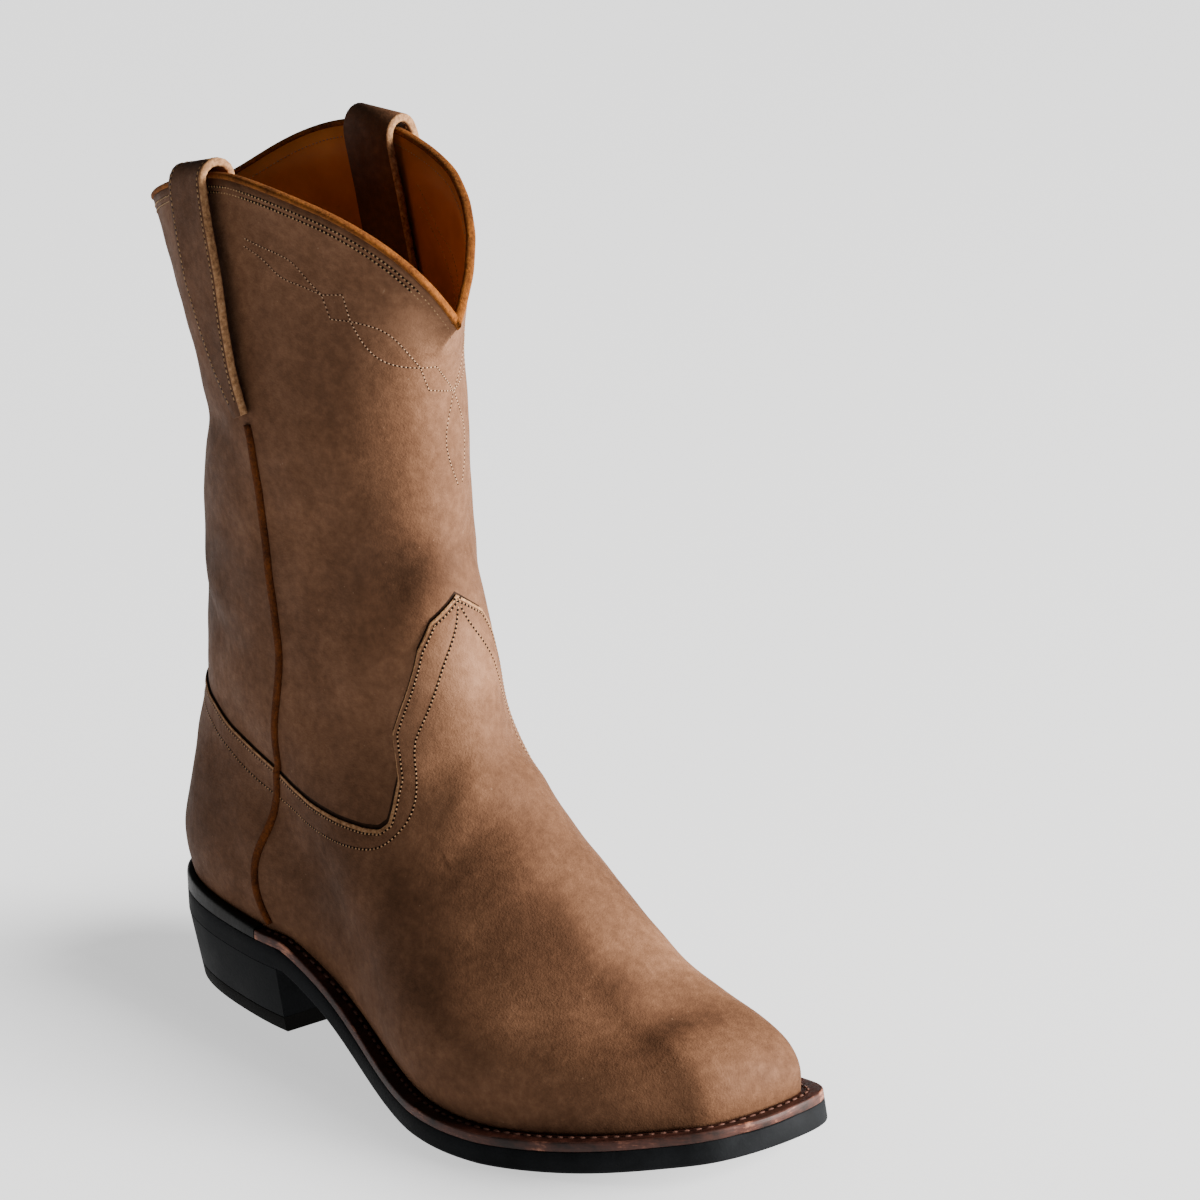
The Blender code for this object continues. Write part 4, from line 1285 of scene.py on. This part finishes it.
def build_pull_strap(name, side):
    """Folded leather strap with raw edges and a pointed outside end."""
    points, across, outward, half = strap_frames(side)
    thick = STRAP_THICKNESS / 2
    soft = STRAP_EDGE
    profile = (
        (-1, soft, -thick),
        (-1, 0.0, -thick + soft),
        (-1, 0.0, thick - soft),
        (-1, soft, thick),
        (-1, STRAP_FACE, thick),
        (0, 0.0, thick),
        (1, STRAP_FACE, thick),
        (1, soft, thick),
        (1, 0.0, thick - soft),
        (1, 0.0, -thick + soft),
        (1, soft, -thick),
        (0, 0.0, -thick),
    )
    corners = []
    for end, inset, height in profile:
        reach = end * np.maximum(half - inset, 0.0)
        corners.append(points + across * reach[:, None] + outward * height)
    piece = strip_piece(name + "_leather", corners, [SHAFT, CUT_EDGE], name, STRAP_SIDES)
    piece.data.set_sharp_from_angle(angle=SHARP_STRAP)
    store(piece.data, "tone_and_painted_light", np.full(len(piece.data.vertices), STRAP_TONE))


# Stitching

# Share of the pitch on either side of a stitch over which its direction is read
DIRECTION_REACH = 0.4

# A thread lies as rings of a half round: place along it and size, both as shares
THREAD_RINGS = ((-0.5, 0.35), (-0.28, 1.0), (0.28, 1.0), (0.5, 0.35))
THREAD_POINTS = 5
HOLE_POINTS = 6
HOLE_LIFT = 0.06 * MM
STITCH_MATERIALS = [TAN_THREAD, GOLD_THREAD, PINK_THREAD, WELT_THREAD, HOLE]


class Stitches:
    """Many short threads and needle holes gathered into one mesh."""

    def __init__(self):
        self.points = []
        self.faces = []
        self.indices = []

    def capsule(self, centre, along, across, normal, length, width, height, index):
        """A low rounded grain lying on the surface."""
        first = len(self.points)
        for share, size in THREAD_RINGS:
            for turn in range(THREAD_POINTS):
                angle = turn * math.pi / (THREAD_POINTS - 1)
                side = math.cos(angle) * size * width / 2
                rise = math.sin(angle) * size * height
                self.points.append(centre + along * share * length + across * side + normal * rise)
        for row in range(len(THREAD_RINGS) - 1):
            for turn in range(THREAD_POINTS - 1):
                low = first + row * THREAD_POINTS + turn
                self.faces.append((low, low + THREAD_POINTS, low + THREAD_POINTS + 1, low + 1))
                self.indices.append(index)

    def hole(self, centre, along, across, normal, size):
        """A dark round spot just over the surface, where the needle went in: painted shade for the hole,
        which has no depth.
        """
        first = len(self.points)
        for turn in range(HOLE_POINTS):
            angle = turn * 2 * math.pi / HOLE_POINTS
            spread = along * math.cos(angle) + across * math.sin(angle)
            self.points.append(centre + spread * size / 2 + normal * HOLE_LIFT)
        self.faces.append(tuple(range(first, first + HOLE_POINTS)))
        self.indices.append(STITCH_MATERIALS.index(HOLE))

    def row(self, line, normals, kind):
        """Stitches along a line: a share of each pitch is thread, and a hole lies between."""
        pitch, share, width, height, hole, thread_index = kind
        travel = travel_along(line)
        count = max(2, int(travel[-1] / pitch))
        places = (np.arange(count) + 0.5) * travel[-1] / count
        reach = pitch * DIRECTION_REACH
        centres = read_rows(places, travel, line)
        ends = read_rows(places + pitch / 2, travel, line)
        upward = unit(read_rows(places, travel, normals))
        before = read_rows(places - reach, travel, line)
        ahead = unit(read_rows(places + reach, travel, line) - before)
        for centre, normal, along, end in zip(centres, upward, ahead, ends):
            across = np.cross(normal, along)
            self.capsule(centre, along, across, normal, pitch * share, width, height, thread_index)
            if hole:
                self.hole(end, along, across, normal, hole)

    def finish(self, name, slot):
        piece = make_piece(name, np.array(self.points), self.faces, STITCH_MATERIALS, None, self.indices)


# Kinds of stitch: pitch, thread's share of it, width, height, hole, place of the thread's material
OVERLAY_STITCH = (1.60 * MM, 0.48, 0.56 * MM, 0.22 * MM, 1.00 * MM, 0)
COLLAR_STITCH = (1.70 * MM, 0.48, 0.60 * MM, 0.26 * MM, 1.05 * MM, 1)
DECOR_STITCH = (1.50 * MM, 0.50, 0.46 * MM, 0.20 * MM, 0.62 * MM, 2)
LINING_STITCH = (1.80 * MM, 0.60, 0.45 * MM, 0.20 * MM, 0.0, 1)
STRAP_STITCH = (2.00 * MM, 0.58, 0.52 * MM, 0.22 * MM, 0.70 * MM, 1)
WELT_STITCH = (4.10 * MM, 0.62, 1.25 * MM, 0.42 * MM, 1.10 * MM, 3)

# Distances of the rows from the edges that they follow
FIRST_ROW = 1.9 * MM
COLLAR_ROWS = (2.9 * MM, 4.9 * MM)
LINING_ROW = 4.0 * MM
STRAP_ROW = 2.2 * MM
WELT_ROW_SHARE = 0.62

# Points along a row before it is divided into stitches, and what is left free at its ends
EDGE_ROW_POINTS = 700
ROW_POINTS = 90
WELT_ROW_POINTS = 400
WELT_ROW_END = 0.02
STRAP_ROW_SPAN = slice(4, -3)

# Second stitch row of the overlays, as (place, rise) on the lateral side. It starts under the first
# row's tip on the tongue and stays well inside that row
SECOND_ROW_TONGUE = ((1.000, 0.474), (0.995, 0.438), (0.974, 0.396), (0.947, 0.349), (0.917, 0.312))
SECOND_ROW_SIDE = ((0.917, 0.312), (0.902, 0.286), (0.884, 0.256), (0.847, 0.226), (0.790, 0.200),
                   (0.719, 0.180), (0.634, 0.174), (0.502, 0.175), (0.362, 0.186), (0.280, 0.203),
                   (0.200, 0.222), (0.100, 0.240), (0.000, 0.246))

# Decorative chain of the shaft's front, as (degrees from the heel, rise): lens, square, lens, square, lens
DECOR_CURVES = (
    ((98.7, 0.931), (106.5, 0.925), (115.0, 0.917), (120.4, 0.900), (126.3, 0.879)),
    ((98.4, 0.921), (105.5, 0.910), (111.8, 0.894), (119.1, 0.887), (126.3, 0.879)),
    ((137.1, 0.849), (150.2, 0.838), (161.4, 0.810), (169.7, 0.787)),
    ((137.1, 0.849), (143.8, 0.816), (153.9, 0.795), (169.7, 0.787)),
    ((196.7, 0.740), (190.3, 0.705), (187.3, 0.668), (194.5, 0.619)),
)
DECOR_STRAIGHT = (
    ((126.3, 0.879), (133.5, 0.883)),
    ((133.5, 0.883), (137.1, 0.849)),
    ((137.1, 0.849), (129.9, 0.849)),
    ((129.9, 0.849), (126.3, 0.879)),
    ((169.7, 0.787), (180.0, 0.784)),
    ((180.0, 0.784), (196.7, 0.740)),
    ((196.7, 0.740), (176.4, 0.753)),
    ((176.4, 0.753), (169.7, 0.787)),
)
# The pattern's middle in degrees, and how far from it the outer half's turns lie on the inner half
DECOR_MIDDLE = 197.0
DECOR_OUTER = (0.0, 10.0, 98.6)
DECOR_INNER = (0.0, 10.0, 64.0)

# Stitched vines on the lining, as (place, rise)
LINING_CURVES = (
    ((0.60, 0.95), (0.70, 0.90), (0.80, 0.88), (0.88, 0.83)),
    ((0.60, 0.92), (0.70, 0.88), (0.80, 0.84), (0.88, 0.80)),
)


def overlay_row(stitches, side):
    """The stitch row next to the edge of vamp and counter."""
    angles = np.linspace(0.0, math.pi, EDGE_ROW_POINTS) * side
    points, normals = at_pairs(edge_levels(angles), angles)
    tangent = np.gradient(points, axis=0)
    downward = unit(np.cross(tangent, normals) * side)
    moved = points + downward * FIRST_ROW
    lift = OVERLAY_STEP + relief(moved)
    stitches.row(moved + normals * lift[:, None], normals, OVERLAY_STITCH)


def lay_row(stitches, angles, levels, kind, stand):
    """A stitch row along the shaft's surface, at a stand off it."""
    line, normals = at_pairs(levels, angles)
    lift = stand + relief(line)
    stitches.row(line + normals * lift[:, None], normals * (1.0 if stand >= 0 else -1.0), kind)


def surface_row(stitches, points, side, kind, stand):
    """A stitch row through (place, rise) points."""
    angles, levels = surface_path(points, side, ROW_POINTS)
    lay_row(stitches, angles, levels, kind, stand)


def decor_row(stitches, points, side):
    """A row of the shaft's pattern through (degrees, rise) points: two points are a straight."""
    knots = np.linspace(0, 1, len(points))
    at = np.linspace(0, 1, ROW_POINTS)
    table = np.array(points)
    if len(points) == 2:
        line = table[0] + np.outer(at, table[1] - table[0])
    else:
        line = spline(knots, table, at)
    turned = line[:, 0]
    if side < 0:
        turned = DECOR_MIDDLE + np.interp(DECOR_MIDDLE - turned, DECOR_OUTER, DECOR_INNER)
    angles = np.radians(turned)
    lay_row(stitches, angles, level_at_rise(line[:, 1], angles), DECOR_STITCH, 0.0)


def build_stitching():
    """Stitch rows of the overlays, the collar and the shaft's pattern."""
    stitches = Stitches()
    for side in (1, -1):
        overlay_row(stitches, side)
        surface_row(stitches, SECOND_ROW_TONGUE, side, OVERLAY_STITCH, OVERLAY_STEP)
        surface_row(stitches, SECOND_ROW_SIDE, side, OVERLAY_STITCH, OVERLAY_STEP)
        for line in DECOR_CURVES + DECOR_STRAIGHT:
            decor_row(stitches, line, side)
        for line in LINING_CURVES:
            surface_row(stitches, line, side, LINING_STITCH, -WALL)
    rim, normals, upward = rim_line(fine_angles(AROUND))
    loop = np.append(np.arange(AROUND), 0)
    for drop in COLLAR_ROWS:
        line = rim - upward * drop
        stitches.row(line[loop], normals[loop], COLLAR_STITCH)
    inner = rim - upward * LINING_ROW - normals * WALL
    stitches.row(inner[loop], -normals[loop], LINING_STITCH)
    stitches.finish("upper_stitching", "upper")


def build_strap_stitching(name, side):
    """A stitch row along each edge of a strap."""
    stitches = Stitches()
    points, across, outward, half = strap_frames(side)
    for edge in (-1, 1):
        reach = np.maximum(half - STRAP_ROW, 0.0) * edge
        line = points + across * reach[:, None] + outward * STRAP_THICKNESS / 2
        stitches.row(line[STRAP_ROW_SPAN], outward[STRAP_ROW_SPAN], STRAP_STITCH)
    stitches.finish(name, "pull_strap_lateral" if side > 0 else "pull_strap_medial")


def build_welt_stitching():
    """Heavy stitches on the welt's top, close to the upper."""
    stitches = Stitches()
    seam = station_angle(SEAM_FOOT_STATION) + WELT_ROW_END
    angles = np.linspace(seam, 2 * math.pi - seam, WELT_ROW_POINTS)
    top = OUTSOLE_THICKNESS + WELT_THICKNESS
    inset = feather_inset(angles) * WELT_ROW_SHARE
    line = sole_points(angles, top, inset)
    high = sole_points(angles, top + MM, inset)
    stitches.row(line, (high - line) / MM, WELT_STITCH)
    stitches.finish("welt_stitching", "welt")


# Stage, light and camera

# The floor's reach, and its finer middle part where the shade lies
FLOOR_REACH = 6.0
FLOOR_MIDDLE = 0.6
FLOOR_STEP = 0.012

# The painted shadow on the floor: its middle line's ends and place to the side, its core and how it fades
SHADE_START = -0.05
SHADE_END = 0.18
SHADE_SHIFT = -0.030
SHADE_CORE = 0.025
SHADE_FADE = 0.038
SHADE_POWER = 1.2
SHADE_POINTS = 40


def floor_shade(points):
    """Strength of the painted shadow on the floor: 1 next to the middle line, and less away from it."""
    nearest = np.full(len(points), np.inf)
    for x in np.linspace(SHADE_START, SHADE_END, SHADE_POINTS):
        nearest = np.minimum(nearest, np.hypot(points[:, 0] - x, points[:, 1] - SHADE_SHIFT))
    return np.exp(-np.clip((nearest - SHADE_CORE) / SHADE_FADE, 0, None) ** SHADE_POWER)


def build_floor():
    near = np.arange(-FLOOR_MIDDLE, FLOOR_MIDDLE + FLOOR_STEP / 2, FLOOR_STEP)
    lines = np.concatenate([[-FLOOR_REACH], near, [FLOOR_REACH]])
    count = len(lines)
    across, along = np.meshgrid(lines, lines)
    points = np.stack([across.ravel(), along.ravel(), np.zeros(count * count)], axis=-1)
    mesh = bpy.data.meshes.new("floor")
    corners = [row * count + place for row in range(count - 1) for place in range(count - 1)]
    faces = [(first, first + 1, first + count + 1, first + count) for first in corners]
    mesh.from_pydata(points.tolist(), [], faces)
    # the painted shadow of the boot, read by the floor's material
    store(mesh, "shade", floor_shade(points))
    mesh.materials.append(floor_paper())
    floor = bpy.data.objects.new("floor", mesh)
    bpy.context.scene.collection.objects.link(floor)


# The photo's view, worked out from the outlines of sole, welt and heel
CAMERA_AZIMUTH = math.radians(54.0)
CAMERA_ELEVATION = math.radians(20.0)
CAMERA_ROLL = math.radians(-2.2)
CAMERA_DISTANCE = 3.0
CAMERA_TARGET = Vector((0.0903, 0.0759, 0.150))
CAMERA_LENS = 253.93
CAMERA_SENSOR = 36


def view_axes():
    """The camera's right, up and back directions."""
    back = Vector((math.sin(CAMERA_AZIMUTH) * math.cos(CAMERA_ELEVATION),
                   -math.cos(CAMERA_AZIMUTH) * math.cos(CAMERA_ELEVATION),
                   math.sin(CAMERA_ELEVATION)))
    right = Vector((math.cos(CAMERA_AZIMUTH), math.sin(CAMERA_AZIMUTH), 0.0))
    up = back.cross(right)
    turned = right * math.cos(CAMERA_ROLL) + up * math.sin(CAMERA_ROLL)
    return turned, back.cross(turned), back


def build_camera():
    right, up, back = view_axes()
    data = bpy.data.cameras.new("photo_view")
    data.lens = CAMERA_LENS
    data.sensor_width = CAMERA_SENSOR
    camera = bpy.data.objects.new("photo_view", data)
    place = CAMERA_TARGET + back * CAMERA_DISTANCE
    turn = Matrix((right, up, back)).transposed().to_4x4()
    camera.matrix_world = Matrix.Translation(place) @ turn
    bpy.context.scene.collection.objects.link(camera)
    bpy.context.scene.camera = camera


# Soft lights as direction from the boot, distance, size, power and colour
LIGHTS = (
    ("key", Vector((0.72, 0.62, 0.30)), 2.2, 1.1, 285, (1.0, 0.985, 0.96)),
    ("fill", Vector((0.1, -0.9, 0.6)), 2.8, 2.2, 2, (0.97, 0.98, 1.0)),
)
LIGHT_AIM = Vector((0.08, 0.0, 0.15))
WORLD_COLOUR = (0.93, 0.94, 0.95, 1.0)
WORLD_STRENGTH = 0.10


def add_area(name, direction, distance, size, power, colour):
    """A square soft light that looks at the boot's middle."""
    data = bpy.data.lights.new(name, "AREA")
    data.shape = "SQUARE"
    data.size = size
    data.energy = power
    data.color = colour
    light = bpy.data.objects.new(name, data)
    place = LIGHT_AIM + direction.normalized() * distance
    light.location = place
    light.rotation_euler = (LIGHT_AIM - place).to_track_quat("-Z", "Y").to_euler()
    bpy.context.scene.collection.objects.link(light)


def build_lights():
    for light in LIGHTS:
        add_area(*light)
    world = bpy.data.worlds.new("studio")
    world.use_nodes = True
    shade = world.node_tree.nodes["Background"]
    shade.inputs["Color"].default_value = WORLD_COLOUR
    shade.inputs["Strength"].default_value = WORLD_STRENGTH
    bpy.context.scene.world = world


build_upper()
build_outsole()
heel_bottom = TOP_LIFT_THICKNESS + SEAT_GAP
build_heel_piece("heel_block_rubber", "heel_block", heel_bottom, HEEL_HEIGHT, SOLE_RUBBER, LOW_EDGE)
build_heel_piece("top_lift_rubber", "top_lift", 0.0, TOP_LIFT_THICKNESS, LIFT_RUBBER, LIFT_EDGE)
build_insole()
build_welt()
build_heel_rand()
build_side_piping("side_piping_lateral", 1)
build_side_piping("side_piping_medial", -1)
build_collar_binding()
build_pull_strap("pull_strap_lateral", 1)
build_pull_strap("pull_strap_medial", -1)
build_stitching()
build_strap_stitching("strap_stitching_lateral", 1)
build_strap_stitching("strap_stitching_medial", -1)
build_welt_stitching()
build_floor()
build_lights()
build_camera()
